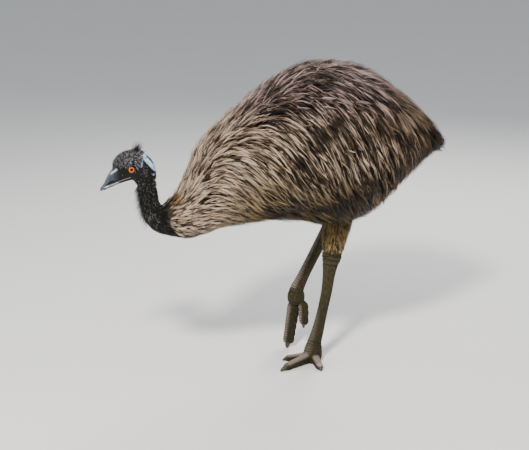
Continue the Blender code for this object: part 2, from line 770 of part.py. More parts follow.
def foot(name, rows, toes, ankle, standing, front):
    """The joint where the toes meet, with a short root for each toe."""
    rings = leg_rings(rows, ankle, unit(np.array(rows[-1][:3]) - np.array(rows[-2][:3])))
    rings[0] = move_ring(rings[0], ankle, 0.5 * GAP)
    if standing:
        rings[-1] = level_ring(rings[-1], FLOOR)
    vertices, faces = tube_mesh(rings)
    item = make_object(name, vertices, faces, "leg_skin")
    roots = []
    for label, points, widths, heights in toes:
        shares = [index / (TOE_ROOT_RINGS - 1.0) for index in range(TOE_ROOT_RINGS)]
        root = [toe_ring(points, widths, heights, share, standing, front) for share in shares]
        root[-1] = toe_root(root[-1], points, -0.5 * GAP)
        vertices, faces = tube_mesh(root)
        roots.append(make_object(name + "_" + label, vertices, faces))
    return boolean(item, "UNION", roots)


def claw(name, ring, direction, length, standing):
    """A blunt curved claw on the end of a toe. One that reaches down to the floor rests flat on it."""
    middle = np.mean(ring, axis=0)
    down = np.array([0.0, 0.0, -1.0])
    rings = []
    for share in CLAW_SHARES:
        centre = middle + direction * (GAP + length * share) + down * CLAW_DROOP * share * share
        size = CLAW_ROOT_SIZE - CLAW_TAPER * share
        shape = [centre + (point - middle) * size for point in ring]
        rings.append([np.array([point[0], point[1], max(point[2], FLOOR)]) for point in shape])
    if not standing:
        lowest = min(point[2] for point in rings[-1])
        if lowest < CLAW_TOUCHES_UNDER:
            rings[-1] = level_ring(rings[-1], FLOOR)
    vertices, faces = tube_mesh(rings)
    return make_object(name, vertices, faces, "claw")


def leg(side, thigh_rows, shank_rows, foot_rows, toes, standing):
    """One leg from the feathered thigh to the claws. Returns the cutter of its place in the body."""
    front = np.array(TOE_FRONT_STANDING if standing else TOE_FRONT_LIFTED)
    knee = joint_direction(thigh_rows, shank_rows)
    ankle = joint_direction(shank_rows, foot_rows)
    cutter = thigh("thigh_" + side, thigh_rows, shank_rows, knee, random.Random(THIGH_SEED))
    shank("shank_" + side, shank_rows, knee, ankle)
    foot("foot_" + side, foot_rows, toes, ankle, standing, front)
    for label, points, widths, heights in toes:
        end = toe("toe_" + side + "_" + label, points, widths, heights, standing, front)
        direction = unit(smooth_row(points, 2.0) - smooth_row(points, 1.9))
        claw("claw_" + side + "_" + label, end, direction, CLAW_LENGTH[label], standing)
    return cutter


def head_place(point):
    """World place of a point given forward of the neck's top, towards the bird's left, and up."""
    forward, left, height = point
    along = np.array([-math.cos(HEAD_YAW), math.sin(HEAD_YAW), 0.0])
    across = np.array([-math.sin(HEAD_YAW), -math.cos(HEAD_YAW), 0.0])
    return np.array([HEAD_X, 0.0, height]) + along * forward + across * left


def head_rings(rows, sides):
    """Rings across the head or bill."""
    rings = []
    for row in rows:
        local = upright_ring(row, sides)
        rings.append([head_place((point[0], -point[1], point[2])) for point in local])
    return rings


def ball(name, centre, radii, rings, sides, tilt=0.0, kind=None):
    """An ellipsoid with its first radius along the head and its second across it."""
    work = bmesh.new()
    bmesh.ops.create_uvsphere(work, u_segments=sides, v_segments=rings, radius=1.0)
    points = []
    for vertex in work.verts:
        x, y, z = (value * radius for value, radius in zip(vertex.co, radii))
        x, z = x * math.cos(tilt) - z * math.sin(tilt), x * math.sin(tilt) + z * math.cos(tilt)
        points.append(head_place((centre[0] + x, centre[1] + y, centre[2] + z)))
    work.verts.index_update()
    faces = [tuple(vertex.index for vertex in face.verts) for face in work.faces]
    work.free()
    return make_object(name, points, faces, kind)


def lid_ring(side):
    """A raised ring of skin round one eye."""
    vertices, faces = [], []
    for segment in range(LID_SEGMENTS):
        turn = 2.0 * math.pi * segment / LID_SEGMENTS
        for corner in range(LID_SIDES):
            angle = 2.0 * math.pi * corner / LID_SIDES
            radius = LID_RADIUS + LID_THICKNESS * math.cos(angle)
            forward = EYE[0] + radius * LID_LONG * math.cos(turn)
            left = EYE[1] + LID_OUTWARD + LID_THICKNESS * math.sin(angle)
            height = EYE[2] + radius * LID_TALL * math.sin(turn)
            vertices.append(head_place((forward, side * left, height)))
    for segment in range(LID_SEGMENTS):
        near = segment * LID_SIDES
        ahead = (segment + 1) % LID_SEGMENTS * LID_SIDES
        for corner in range(LID_SIDES):
            beside = (corner + 1) % LID_SIDES
            faces.append((near + corner, near + beside, ahead + beside, ahead + corner))
    return make_object("lids", vertices, faces)


def mouth_groove(side):
    """A thin slab that cuts the line of the mouth into one cheek."""
    back, front = np.array(MOUTH_BACK), np.array(MOUTH_FRONT)
    direction = (front - back) / np.linalg.norm(front - back)
    upward = np.array([-direction[1], direction[0]]) * MOUTH_HALF_HEIGHT
    front = front + direction * MOUTH_OVERRUN
    corners = [back - upward, front - upward, front + upward, back + upward]
    vertices = []
    for left in MOUTH_LEFTS:
        for corner in corners:
            vertices.append(head_place((corner[0], side * left, corner[1])))
    return make_object("groove", vertices, BOX_FACES)


def head():
    """Skull with lids, ears and the line of the mouth, two halves of the bill, and the eyes."""
    rings = head_rings(SKULL, HEAD_SIDES)
    rings[0] = [point + np.array([0.0, 0.0, 0.5 * GAP]) for point in rings[0]]
    rings[-1] = move_ring(rings[-1], ring_direction(rings, -1), 0.5 * GAP)
    vertices, faces = tube_mesh(rings)
    skull = make_object("head", vertices, faces, "dark_coat")
    boolean(skull, "UNION", [lid_ring(side) for side in (1.0, -1.0)])
    cutters = []
    for side in (1.0, -1.0):
        place = (EYE[0], side * EYE[1], EYE[2])
        cutters.append(ball("socket", place, (EYE_RADIUS + GAP,) * 3, EYE_RINGS, EYE_SIDES))
        cutters.append(ball("ear", (EAR[0], side * EAR[1], EAR[2]), EAR_RADII, HOLE_RINGS, HOLE_SIDES))
        cutters.append(mouth_groove(side))
    boolean(skull, "DIFFERENCE", cutters)
    for name, side in (("eye_left", 1.0), ("eye_right", -1.0)):
        place = (EYE[0], side * EYE[1], EYE[2])
        ball(name, place, (EYE_RADIUS,) * 3, EYE_RINGS, EYE_SIDES, kind="eye")
    bill()


def bill():
    """The two halves of the bill, with a nostril on each side of the upper one."""
    rings = head_rings(UPPER_BILL, BILL_SIDES)
    rings[0] = move_ring(rings[0], ring_direction(rings, 0), 0.5 * GAP)
    vertices, faces = tube_mesh(rings)
    upper = make_object("bill_upper", vertices, faces, "bill")
    cutters = []
    for side in (1.0, -1.0):
        place = (NOSTRIL[0], side * NOSTRIL[1], NOSTRIL[2])
        cutters.append(ball("nostril", place, NOSTRIL_RADII, HOLE_RINGS, HOLE_SIDES, NOSTRIL_TILT))
    boolean(upper, "DIFFERENCE", cutters)
    rings = head_rings(LOWER_BILL, BILL_SIDES)
    rings[0] = move_ring(rings[0], ring_direction(rings, 0), 0.5 * GAP)
    vertices, faces = tube_mesh(rings)
    make_object("bill_lower", vertices, faces, "bill")


def neck():
    """The dark neck in three lengths."""
    for name, start, end in zip(NECK_NAMES, NECK_SPLITS[:-1], NECK_SPLITS[1:]):
        vertices, faces = tube_mesh(upright_tube(NECK[start:end + 1], NECK_SIDES))
        make_object(name, vertices, faces, "dark_coat")


def tail_block(shift):
    """A block that holds everything behind the place where the tail starts."""
    ring = body_grid_ring(TAIL_START)
    middle = np.mean(ring, axis=0)
    across = np.array([0.0, 1.0, 0.0])
    tall = unit(ring[0] - ring[BODY_SIDES // 2])
    back = unit(np.cross(across, tall))
    if back[0] < 0.0:
        back = -back
    front = middle + back * shift
    vertices = []
    for depth in (0.0, 1.0):
        for side, height in ((-1.0, -1.0), (1.0, -1.0), (1.0, 1.0), (-1.0, 1.0)):
            offset = back * depth + across * side + tall * height
            vertices.append(front + offset * BLOCK_SIZE)
    return make_object("tail_block", vertices, BOX_FACES)


def body_grid_ring(place):
    """One ring on the coat's outer shape."""
    return [body_point(place, 2.0 * math.pi * side / BODY_SIDES) for side in range(BODY_SIDES)]


def copy_of(item, name):
    """A second object with its own copy of the mesh and its own material."""
    result = bpy.data.objects.new(name, item.data.copy())
    bpy.context.scene.collection.objects.link(result)
    result.data.materials.clear()
    result.data.materials.append(material("coat"))
    return result


def body(cutters):
    """One coat over the whole body, then parted by thin cuts into torso, tail and folded wings."""
    grid = core_grid()
    grid[0] = shifted_ring(grid[0], 0.5 * GAP)
    vertices, faces = tube_mesh(grid)
    torso = make_object("torso", vertices, faces, "coat")
    boolean(torso, "UNION", coat_locks(random.Random(COAT_SEED)))
    tail = copy_of(torso, "tail")
    left_wing = copy_of(torso, "wing_left")
    right_wing = copy_of(torso, "wing_right")
    boolean(tail, "INTERSECT", [tail_block(0.5 * GAP)])
    boolean(left_wing, "INTERSECT", [wing_block(False, 0.0)])
    boolean(right_wing, "INTERSECT", [wing_block(True, 0.0)])
    wings = [wing_block(False, GAP), wing_block(True, GAP)]
    boolean(torso, "DIFFERENCE", [tail_block(-0.5 * GAP)] + wings + cutters)


def emu():
    """The whole bird."""
    clear_objects()
    head()
    neck()
    left_cutter = leg("left", LEFT_THIGH, LEFT_SHANK, LEFT_FOOT, LEFT_TOES, True)
    right_cutter = leg("right", RIGHT_THIGH, RIGHT_SHANK, RIGHT_FOOT, RIGHT_TOES, False)
    body([left_cutter, right_cutter])


emu()
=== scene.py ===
"""The looks of a standing emu: skin, feathers, bill, eyes, scaly legs and claws.

Metres, +Z up. The bird faces -X and its left side faces -Y. The origin is on the floor, under the
joint of the toes of the left foot.
"""
import math
from collections import namedtuple

import bmesh
import bpy
import numpy as np
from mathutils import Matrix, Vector


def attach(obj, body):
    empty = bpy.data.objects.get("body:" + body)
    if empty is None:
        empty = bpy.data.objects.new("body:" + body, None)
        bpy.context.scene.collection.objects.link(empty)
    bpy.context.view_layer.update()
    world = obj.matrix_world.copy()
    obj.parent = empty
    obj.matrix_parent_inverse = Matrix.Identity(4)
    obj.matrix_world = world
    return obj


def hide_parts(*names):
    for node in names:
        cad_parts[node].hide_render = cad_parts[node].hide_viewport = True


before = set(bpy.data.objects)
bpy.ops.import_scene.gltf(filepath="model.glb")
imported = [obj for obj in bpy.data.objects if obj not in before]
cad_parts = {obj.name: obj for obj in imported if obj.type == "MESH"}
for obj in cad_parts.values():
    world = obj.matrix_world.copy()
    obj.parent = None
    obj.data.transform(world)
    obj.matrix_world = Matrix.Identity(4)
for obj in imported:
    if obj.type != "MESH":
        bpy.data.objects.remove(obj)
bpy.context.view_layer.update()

# The camera stands where the photo was taken from.
CAMERA_PLACE = (-1.816, -3.564, 1.600)
CAMERA_PITCH = 15.08
CAMERA_PAN = 24.36
CAMERA_LENS = 78.26
CAMERA_SENSOR = 36.0

# Body, as seen from the side: ridge x and z, belly x and z, half width, out to the feather tips.
BODY = (
    (-0.575, 0.654, -0.520, 0.539, 0.058),
    (-0.525, 0.702, -0.475, 0.530, 0.084),
    (-0.489, 0.774, -0.420, 0.534, 0.118),
    (-0.436, 0.868, -0.350, 0.556, 0.162),
    (-0.330, 0.952, -0.270, 0.562, 0.205),
    (-0.200, 1.040, -0.180, 0.566, 0.236),
    (-0.083, 1.105, -0.070, 0.548, 0.250),
    (0.050, 1.122, 0.050, 0.522, 0.250),
    (0.184, 1.091, 0.170, 0.545, 0.236),
    (0.300, 1.014, 0.270, 0.620, 0.200),
    (0.400, 0.932, 0.370, 0.704, 0.156),
    (0.472, 0.856, 0.452, 0.752, 0.100),
    (0.514, 0.800, 0.506, 0.773, 0.032),
)
NECK = (
    (-0.5995, 0.728, -0.6655, 0.728, 0.0310),
    (-0.5965, 0.702, -0.6600, 0.695, 0.0290),
    (-0.5940, 0.682, -0.6535, 0.660, 0.0290),
    (-0.5900, 0.669, -0.6455, 0.625, 0.0310),
    (-0.5840, 0.661, -0.6290, 0.590, 0.0360),
    (-0.5790, 0.657, -0.6000, 0.565, 0.0440),
    (-0.5765, 0.655, -0.5620, 0.551, 0.0520),
)

# The head is turned away from the body's line. Its sizes are a distance forward from the middle
# of the neck's top and a height above the floor.
HEAD_START = np.array([-0.637, 0.0, 0.0])
HEAD_YAW = math.radians(22.0)
HEAD_FORWARD = np.array([-math.cos(HEAD_YAW), math.sin(HEAD_YAW), 0.0])
HEAD_LEFT = np.array([-math.sin(HEAD_YAW), -math.cos(HEAD_YAW), 0.0])
UP = np.array([0.0, 0.0, 1.0])
SKULL = (
    (-0.0360, 0.752, 0.0340, 0.739, 0.0320),
    (-0.0370, 0.782, 0.0400, 0.748, 0.0335),
    (-0.0260, 0.812, 0.0480, 0.750, 0.0350),
    (-0.0040, 0.837, 0.0580, 0.747, 0.0355),
    (0.0260, 0.850, 0.0680, 0.744, 0.0345),
    (0.0580, 0.847, 0.0760, 0.741, 0.0315),
    (0.0840, 0.836, 0.0840, 0.738, 0.0270),
    (0.1035, 0.815, 0.0905, 0.736, 0.0225),
    (0.1105, 0.787, 0.0960, 0.735, 0.0195),
)
UPPER_BILL = (
    (0.1045, 0.7935, 0.0950, 0.7500, 0.0196),
    (0.1110, 0.7875, 0.0985, 0.7490, 0.0190),
    (0.1212, 0.7730, 0.1110, 0.7465, 0.0160),
    (0.1310, 0.7550, 0.1230, 0.7395, 0.0125),
    (0.1385, 0.7395, 0.1335, 0.7290, 0.0095),
    (0.1458, 0.7300, 0.1415, 0.7180, 0.0070),
    (0.1505, 0.7235, 0.1475, 0.7125, 0.0044),
    (0.1518, 0.7200, 0.1498, 0.7145, 0.0022),
)
LOWER_BILL = (
    (0.0780, 0.7520, 0.0770, 0.7470, 0.0090),
    (0.0880, 0.7500, 0.0860, 0.7390, 0.0150),
    (0.0983, 0.7455, 0.0960, 0.7350, 0.0172),
    (0.1110, 0.7395, 0.1075, 0.7295, 0.0148),
    (0.1240, 0.7345, 0.1205, 0.7240, 0.0115),
    (0.1345, 0.7285, 0.1320, 0.7185, 0.0075),
    (0.1410, 0.7215, 0.1395, 0.7145, 0.0025),
)
# Rings and sides of the bill's halves, and the power that squares them off above and below.
UPPER_BILL_FORM = (90, 72, 0.92, 0.55)
LOWER_BILL_FORM = (60, 64, 0.50, 0.90)
LINING_FORM = (24, 24, 1.0, 1.0)
CULMEN_RISE = 0.0010
CULMEN_HALF_ANGLE = 0.30
CULMEN_FADE = ((0, 60, 89), (1.0, 0.5, 0.0))

# Eyes: how far forward, to the left and up.
EYE = (0.042, 0.0265, 0.7920)
EYE_SIDE = (EYE[0], EYE[2])
EYE_RADIUS = 0.0135
EYE_BULGE = (0.05, 14)
PUPIL_RADIUS = 0.0052
IRIS_RADIUS = 0.0104

# Lids, a ring round each eye: usual reach and thickness and what is added above the eye, waves.
LID_SEGMENTS, LID_SIDES = 96, 20
LID_REACH = (0.0114, 0.0006)
LID_THICKNESS = (0.0020, 0.0016)
LID_WAVES = (11.0, 0.00018)
LID_LONG, LID_TALL, LID_HOOD, LID_DEEP = 1.10, 0.98, 0.22, 1.2
LID_OUTWARD = 0.0322
LID_TUCK = 0.0032

# Places on the head as seen from its side, forward and height, and lines from one to another.
BROW = ((0.024, 0.809), (0.066, 0.802))
MOUTH = ((0.046, 0.768), (0.100, 0.7455))
LIP = ((0.048, 0.7645), (0.101, 0.7425))
CHEEK = ((0.020, 0.772), (0.060, 0.770))
EAR = (-0.001, 0.784)
NAPE_SPOTS = ((-0.0290, 0.772), (-0.0320, 0.752), (-0.0340, 0.728))
SPOT_CLEAR, SPOT_REACH = 0.0020, 0.0045
# The nostril: a slit pressed into the bill and painted dark as shade.
NOSTRIL = ((0.1110, 0.7615), (0.1180, 0.7530))
NOSE_GROOVE = ((0.1060, 0.7670), (0.1230, 0.7460))
# A painted highlight at the bill's base, on skin and horn.
BILL_SHEEN = ((0.0930, 0.7900), (0.1115, 0.7755))
BILL_ROOT = ((0.1040, 0.7950), (0.1040, 0.7450))
BILL_EDGE = ((0.0900, 0.7455), (0.1370, 0.7260))
# A painted highlight near the bill's tip.
BILL_GLINT = ((0.1230, 0.7318), (0.1355, 0.7262))
# Down the top of the bill, a painted bluish sheen.
CULMEN = ((0.1060, 0.7910), (0.1480, 0.7230))

# Bare bands of the nape: line, half width, and the share of it that is blue all over.
NAPE_BANDS = ((((0.007, 0.838), (-0.035, 0.788)), 0.0072, 0.55),
              (((0.0095, 0.836), (0.0120, 0.804)), 0.0064, 0.40))
NAPE_EDGE = 1.1

# Middles of the mouth's lining, a near black body that stands for the shade inside the mouth: forward,
# height, half width.
MOUTH_LINING = ((0.088, 0.7485, 0.0150), (0.105, 0.7450, 0.0135), (0.118, 0.7400, 0.0100),
                (0.130, 0.7335, 0.0060), (0.138, 0.7270, 0.0020))
LINING_HEIGHT = 0.0045
LINING_LEAN = 0.001

# Forms raised on face and bill: place, rise, the distance it is highest at, and its half width.
FACE_FORMS = (
    (BROW, 0.0030, 0.0, 0.0090), (MOUTH, -0.0026, 0.0, 0.0022), (LIP, 0.0013, 0.0, 0.0034),
    (EAR, -0.0050, 0.0, 0.0060), (EAR, 0.0012, 0.0085, 0.0035), (CHEEK, 0.0022, 0.0, 0.0120),
    (NAPE_BANDS[0][0], 0.0010, 0.0, 0.0100),
)
BILL_FORMS = ((NOSE_GROOVE, -0.0012, 0.0, 0.0038), (NOSTRIL, -0.0026, 0.0, 0.0020))
EYE_HOLLOW, EYE_HOLLOW_REACH, EYE_HOLLOW_POWER = 0.0034, 0.022, 1.3

# Where short feathers grow: start of the growth and the distance in which it gets full, which is
# negative where it grows towards smaller values.
CROWN_EDGE = (0.7975, 0.006)
CROWN_TOP, CROWN_LEAN, CROWN_BACK = 0.85, 0.45, (-0.002, 0.005)
EYE_RING = (0.0150, 0.003)
FACE_EYE = (0.017, 0.005)
FACE_MOUTH = (0.004, 0.004)
FACE_FRONT = (0.090, -0.010)
BARE_EDGE = (0.9, 0.3)
TUFT = (0.031, 0.0, 0.850)
TUFT_REACH = (0.014, -0.014)
FRINGE_WAY = np.array([-0.96, 0.28, 0.0])
FRINGE_TURN = (0.86, 1.0)
FRINGE_TOP = 0.745

# Legs: points x, y, z with the half size fore and aft and the half size across.
LEFT_LEG = (
    (0.070, -0.050, 0.640, 0.0850, 0.0680),
    (0.067, -0.042, 0.565, 0.0600, 0.0530),
    (0.064, -0.034, 0.505, 0.0460, 0.0430),
    (0.062, -0.026, 0.462, 0.0395, 0.0365),
    (0.058, -0.022, 0.425, 0.0370, 0.0325),
    (0.056, -0.021, 0.403, 0.0370, 0.0310),
    (0.051, -0.020, 0.374, 0.0290, 0.0260),
    (0.047, -0.018, 0.335, 0.0232, 0.0205),
    (0.040, -0.015, 0.270, 0.0205, 0.0175),
    (0.023, -0.010, 0.180, 0.0195, 0.0170),
    (0.012, -0.004, 0.120, 0.0225, 0.0195),
    (0.003, 0.000, 0.082, 0.0255, 0.0220),
    (-0.002, 0.000, 0.058, 0.0310, 0.0270),
    (-0.006, 0.000, 0.030, 0.0350, 0.0310),
    (-0.004, 0.000, 0.010, 0.0330, 0.0290),
    (0.000, 0.000, 0.000, 0.0290, 0.0260),
)
RIGHT_LEG = (
    (0.050, 0.064, 0.735, 0.0720, 0.0640),
    (0.088, 0.092, 0.672, 0.0590, 0.0530),
    (0.116, 0.112, 0.618, 0.0480, 0.0440),
    (0.138, 0.127, 0.578, 0.0395, 0.0365),
    (0.152, 0.136, 0.548, 0.0345, 0.0325),
    (0.156, 0.138, 0.526, 0.0325, 0.0300),
    (0.140, 0.139, 0.496, 0.0270, 0.0250),
    (0.121, 0.140, 0.463, 0.0235, 0.0205),
    (0.090, 0.142, 0.406, 0.0225, 0.0185),
    (0.048, 0.145, 0.330, 0.0215, 0.0180),
    (0.020, 0.148, 0.276, 0.0225, 0.0195),
    (0.002, 0.150, 0.240, 0.0265, 0.0230),
    (-0.003, 0.150, 0.218, 0.0325, 0.0270),
    (-0.003, 0.150, 0.196, 0.0325, 0.0285),
    (-0.001, 0.150, 0.180, 0.0230, 0.0220),
)
KNEE, HOCK, ANKLE = 4.0, 5.0, 11.0
TO_FRONT = np.array([-1.0, 0.0, 0.0])
FLOOR = 0.0

# Toes: name, points along the middle, half widths and half heights at root and end.
Toe = namedtuple("Toe", "label points widths heights")
LEFT_TOES = (
    Toe("inner", ((-0.010, 0.006, 0.030), (-0.042, 0.020, 0.018), (-0.085, 0.040, 0.0115)),
        (0.0125, 0.0085), (0.0150, 0.0110)),
    Toe("middle", ((-0.010, -0.003, 0.034), (-0.046, -0.013, 0.022), (-0.128, -0.036, 0.0125)),
        (0.0175, 0.0120), (0.0200, 0.0130)),
    Toe("outer", ((-0.004, -0.010, 0.032), (-0.012, -0.041, 0.020), (-0.018, -0.080, 0.0120)),
        (0.0165, 0.0125), (0.0175, 0.0125)),
)
RIGHT_TOES = (
    Toe("inner", ((0.006, 0.143, 0.205), (0.016, 0.129, 0.168), (0.016, 0.124, 0.116)),
        (0.0125, 0.0095), (0.0150, 0.0125)),
    Toe("middle", ((-0.008, 0.150, 0.200), (-0.013, 0.156, 0.158), (-0.029, 0.163, 0.034)),
        (0.0175, 0.0120), (0.0225, 0.0165)),
    Toe("outer", ((0.000, 0.160, 0.205), (0.006, 0.190, 0.168), (0.008, 0.205, 0.112)),
        (0.0165, 0.0125), (0.0175, 0.0125)),
)
TOE_END = 2.0
TOE_TIP, TOE_TIP_TURN, TOE_TIP_RINGS = 0.015, 1.45, 8

# Claws, with the size of their root against the toe's end, and how they taper and droop.
CLAW_LENGTH = {"inner": 0.024, "middle": 0.032, "outer": 0.022}
CLAW_RINGS, CLAW_SIDES = 30, 28
CLAW_ROOT, CLAW_TAPER, CLAW_POWER, CLAW_DROOP = 0.74, 0.93, 1.7, 0.005
CLAW_START = (1.90, 1.96)

# Plates of a leg: where they start, how pale they are on shank and toes, how much fuller the toes
# are above and below, how far plates spread round a toe, and how far they run past the ankle.
Scutes = namedtuple("Scutes", "start shank_pale toe_pale swell spread past")
LEFT_SCUTES = Scutes(8.6, 0.26, 0.90, (0.0, 0.0), (1.9, 0.45), 0.050)
RIGHT_SCUTES = Scutes(6.5, 0.85, 0.52, (0.003, 0.004), (2.6, 1.2), 0.008)
SCUTE_STEP, SCUTE_HEIGHT = 0.0090, 0.0014
SCUTE_FORE, SCUTE_NARROW = 2.2, (1.45, 0.80)
SCUTE_FADES = (0.050, 0.010)
TOE_SCUTE_STEP, TOE_SCUTE_HEIGHT = 0.0095, 0.0012
TOE_BLEND = (0.020, 0.012)
TOE_OVERLAP = 0.6
PAD_STEP, PAD_HEIGHT, PAD_POWER, PAD_SPREAD = 0.026, 0.0035, 0.6, 1.3
PLATE_LOW, PLATE_SLOPE, PLATE_EDGE, PLATE_PEAK = 0.15, 0.55, 0.86, 1.15

# Creases: place on the leg, shift down it, depth, half width, height of its waves, and the darkness painted
# in it as shade.
CREASES = tuple((HOCK, shift, depth, 0.0042, 0.0020, 1.0) for shift, depth in (
    (-0.031, 0.0018), (-0.018, 0.0024), (-0.006, 0.0028), (0.008, 0.0028), (0.026, 0.0022)))
CREASES += tuple((ANKLE, shift, 0.0016, 0.0030, 0.0, 0.8) for shift in (0.002, 0.014))
CREASE_WAVES, CREASE_SHIFT = 3.0, 300.0

# The legs' meshes: voxels, smoothing, rings above and below the knee, sides, stations to measure by.
LEG_VOXEL, LEG_EVEN, LEG_EVEN_STEPS = 0.0016, 0.5, 5
LEG_RINGS, LEG_SIDES, LEG_STATIONS, LEG_MAP_STATIONS = (26, 120), 40, 400, 200
TOE_RINGS, TOE_SIDES, TOE_STATIONS = 60, 32, 120
LEG_GROW = 0.0003
LEG_SHARE = 0.80
TOE_REACH = 0.15
THIGH_START, THIGH_END, FLUFF_END = 1.0, 3.60, 4.60
THIGH_SIDES = 48
THIGH_DEPTH = ((0.0, 2.0, THIGH_END), (0.010, 0.006, 0.002))
THIGH_LENGTH = ((THIGH_START, 2.5, THIGH_END), (0.060, 0.042, 0.021))

# Places along the whole bird, from the bill's base to the tail: the neck starts at one and the
# body at the other.
NECK_AT = float(len(SKULL))
BODY_AT = NECK_AT + len(NECK)
TAIL_AT = BODY_AT + len(BODY) - 1.0
SKIN_END = BODY_AT + 11.85
COAT_DEPTH = 0.032
FULL_DEPTH_AT = 2.5
DEPTH_OF_HALF_WIDTH = 0.42
DOWN_DEPTH = ((0.0, 6.0, NECK_AT, BODY_AT), (0.0006, 0.0018, 0.0035, 0.0060))
TABLE_STEP = 0.05
TABLE_SIDES = 144
SKIN_RINGS = (200, 80, 64)

# The lie of the coat: how steeply feathers fall on the flank at places along the body.
FALL = ((0.0, 1.5, 3.0, 6.0, 9.0, 12.0), (0.15, 0.45, 0.80, 1.70, 2.50, 2.20))
FALL_START = (-1.0, 1.5)
FALL_CURVE = 0.7
RUFF_AT = BODY_AT - 1.65
RUFF_SLANT = 1.45
RUFF_EDGE = 0.1
RUFF_LIFT, RUFF_PLACE, RUFF_HALF = 1.0, -0.5, 1.6
TAIL_REACH = (0.006, 0.030)
TAIL_DROOP = 0.80

# Layers of feathers, each feather a spray of thin strands. Length is against the full one, width is
# half of a strand's, spray half of a feather's, and low and high are shares of the coat's depth.
Layer = namedtuple("Layer", "name count strands stations length width spray low high tone")
UNDER = Layer("plumage_under", 2200, 5, 4, 0.80, 0.0022, 0.0090, 0.35, 0.80, 0.22)
OVER = Layer("plumage_over", 5700, 7, 5, 1.00, 0.00105, 0.0044, 0.78, 1.18, 0.49)
THIGH = Layer("thigh_feathers", 1200, 5, 4, 1.00, 0.00080, 0.0050, 0.60, 2.20, 0.54)
Strands = namedtuple("Strands", "points normals widths tones uvs places")
FEATHER_LENGTH = ((-1.0, 0.0, 2.0, 4.0, 8.0, 11.4), (0.030, 0.045, 0.085, 0.125, 0.155, 0.120))
WIDTH_BY_PLACE = ((-1.0, 3.5), (0.6, 1.0))
THICKNESS_SHARE = 0.45
FEATHER_SPREAD = 0.27
TONE_SPREAD = 0.32
# The middle strand of each feather is made paler: a painted highlight along its shaft.
SHAFT_HIGHLIGHT_LIFT = 0.30
STRAY = 2.6
PIECE_TRIANGLES = 190000
PATCH = 0.003

# How single feathers and strands vary and bend. Ranges are shares of the usual size.
LENGTH_RANGE = (0.75, 1.20)
SHORT_LENGTH_RANGE = (0.60, 1.30)
STRAND_LENGTH_RANGE = (0.70, 1.00)
WIDTH_RANGE = (0.70, 1.30)
FAN_RANGE = (0.60, 1.40)
LIFT_RANGE = (0.30, 1.50)
TURN_SPREAD = 1.2
HEIGHT_SPREAD = 0.0024
OUTER_SHORTER = 0.10
ROOT_SINK, SHORT_ROOT_SINK = 0.0030, 0.0012
RISE_POWER, SHORT_RISE_POWER = 2.4, 1.2
FAN = ((0.0, 0.45, 1.0), (0.35, 1.0, 0.50))
TAPER = ((0.0, 0.3, 0.8, 1.0), (0.8, 1.0, 0.6, 0.0))
SHORT_TAPER = np.array([0.9, 1.0, 0.7, 0.0])
COAT_SEED, THIGH_SEED, DOWN_SEED = 11, 31, 23

# Boxes on the bake map: left, low, right, high.
SKIN_BOX = (0.02, 0.02, 0.98, 0.62)
LEFT_BOX = (0.02, 0.66, 0.38, 0.98)
RIGHT_BOX = (0.40, 0.66, 0.76, 0.98)
BILL_BOX = (0.80, 0.66, 0.88, 0.80)
CLAW_BOX = (0.92, 0.66, 0.94, 0.70)
LID_BOX = (0.80, 0.84, 0.90, 0.92)

Leg = namedtuple("Leg", "side rows toes front box scutes")
LEGS = (Leg("left", LEFT_LEG, LEFT_TOES, UP, LEFT_BOX, LEFT_SCUTES),
        Leg("right", RIGHT_LEG, RIGHT_TOES, np.array([-1.0, 0.0, 0.35]), RIGHT_BOX, RIGHT_SCUTES))

# The studio.
FLOOR_REACH = 60.0
LOOK_AT = (0.0, 0.0, 0.7)
FLOOR_PAINT = ((0.2, (0.78, 0.78, 0.77)), (0.8, (0.80, 0.80, 0.79)))
SKY, SKY_STRENGTH = (0.90, 0.94, 1.0, 1.0), 0.54
LIGHTS = (("key", (-2.4, -2.8, 3.8), 385.0, 0.6, (1.0, 0.95, 0.87)),
          ("fill", (-3.0, 2.0, 2.0), 35.0, 2.5, (0.95, 0.97, 1.0)),
          ("back", (2.4, 2.2, 3.2), 130.0, 1.6, (1.0, 0.98, 0.95)))

# Colours.
# Painted shade: in the gaps between feathers, at their roots and in the nostril.
GAP_SHADE = (0.010, 0.0065, 0.0045)
BROWN_DARK = (0.040, 0.026, 0.017)
BROWN_MID = (0.115, 0.076, 0.048)
BROWN_PALE = (0.330, 0.235, 0.155)
# The palest tone of the coat: a painted highlight on the shafts.
SHAFT_HIGHLIGHT = (0.640, 0.510, 0.390)
BACK_TINT = (0.80, 0.74, 0.92)
REAR_TINT = (0.45, 0.35, 0.23)
# Painted greenish light bounced up into the shade low on the belly.
BOUNCE_TINT = (0.40, 0.36, 0.19)
SHADE_TINT = (0.43, 0.32, 0.17)
TAIL_TINT = (0.28, 0.27, 0.25)
THIGH_TINT = (0.94, 0.86, 0.54)
BLACK_DOWN = (0.005, 0.0047, 0.0042)
FLECK = (0.760, 0.710, 0.790)
NECK_FLECK = (0.420, 0.410, 0.330)
LOW_FLECK = (0.620, 0.680, 0.600)
FRINGE = (0.130, 0.110, 0.090)
SKIN_DARK = (0.007, 0.007, 0.006)
NAPE_BLUE = (0.400, 0.590, 0.820)
MOUTH_PALE = (0.420, 0.450, 0.480)
# Painted shade inside the mouth.
MOUTH_SHADE = (0.002, 0.0015, 0.0015)
LEG_BROWN = (0.067, 0.054, 0.022)
LEG_PALE = (0.380, 0.305, 0.280)
LOW_LEG_TINT = (0.64, 0.64, 0.60)
# The dark of the joints between plates, and painted shade in creases and between the pads.
LEG_JOINTS_AND_SHADE = (0.012, 0.009, 0.005)
BILL_DARK = (0.014, 0.016, 0.020)
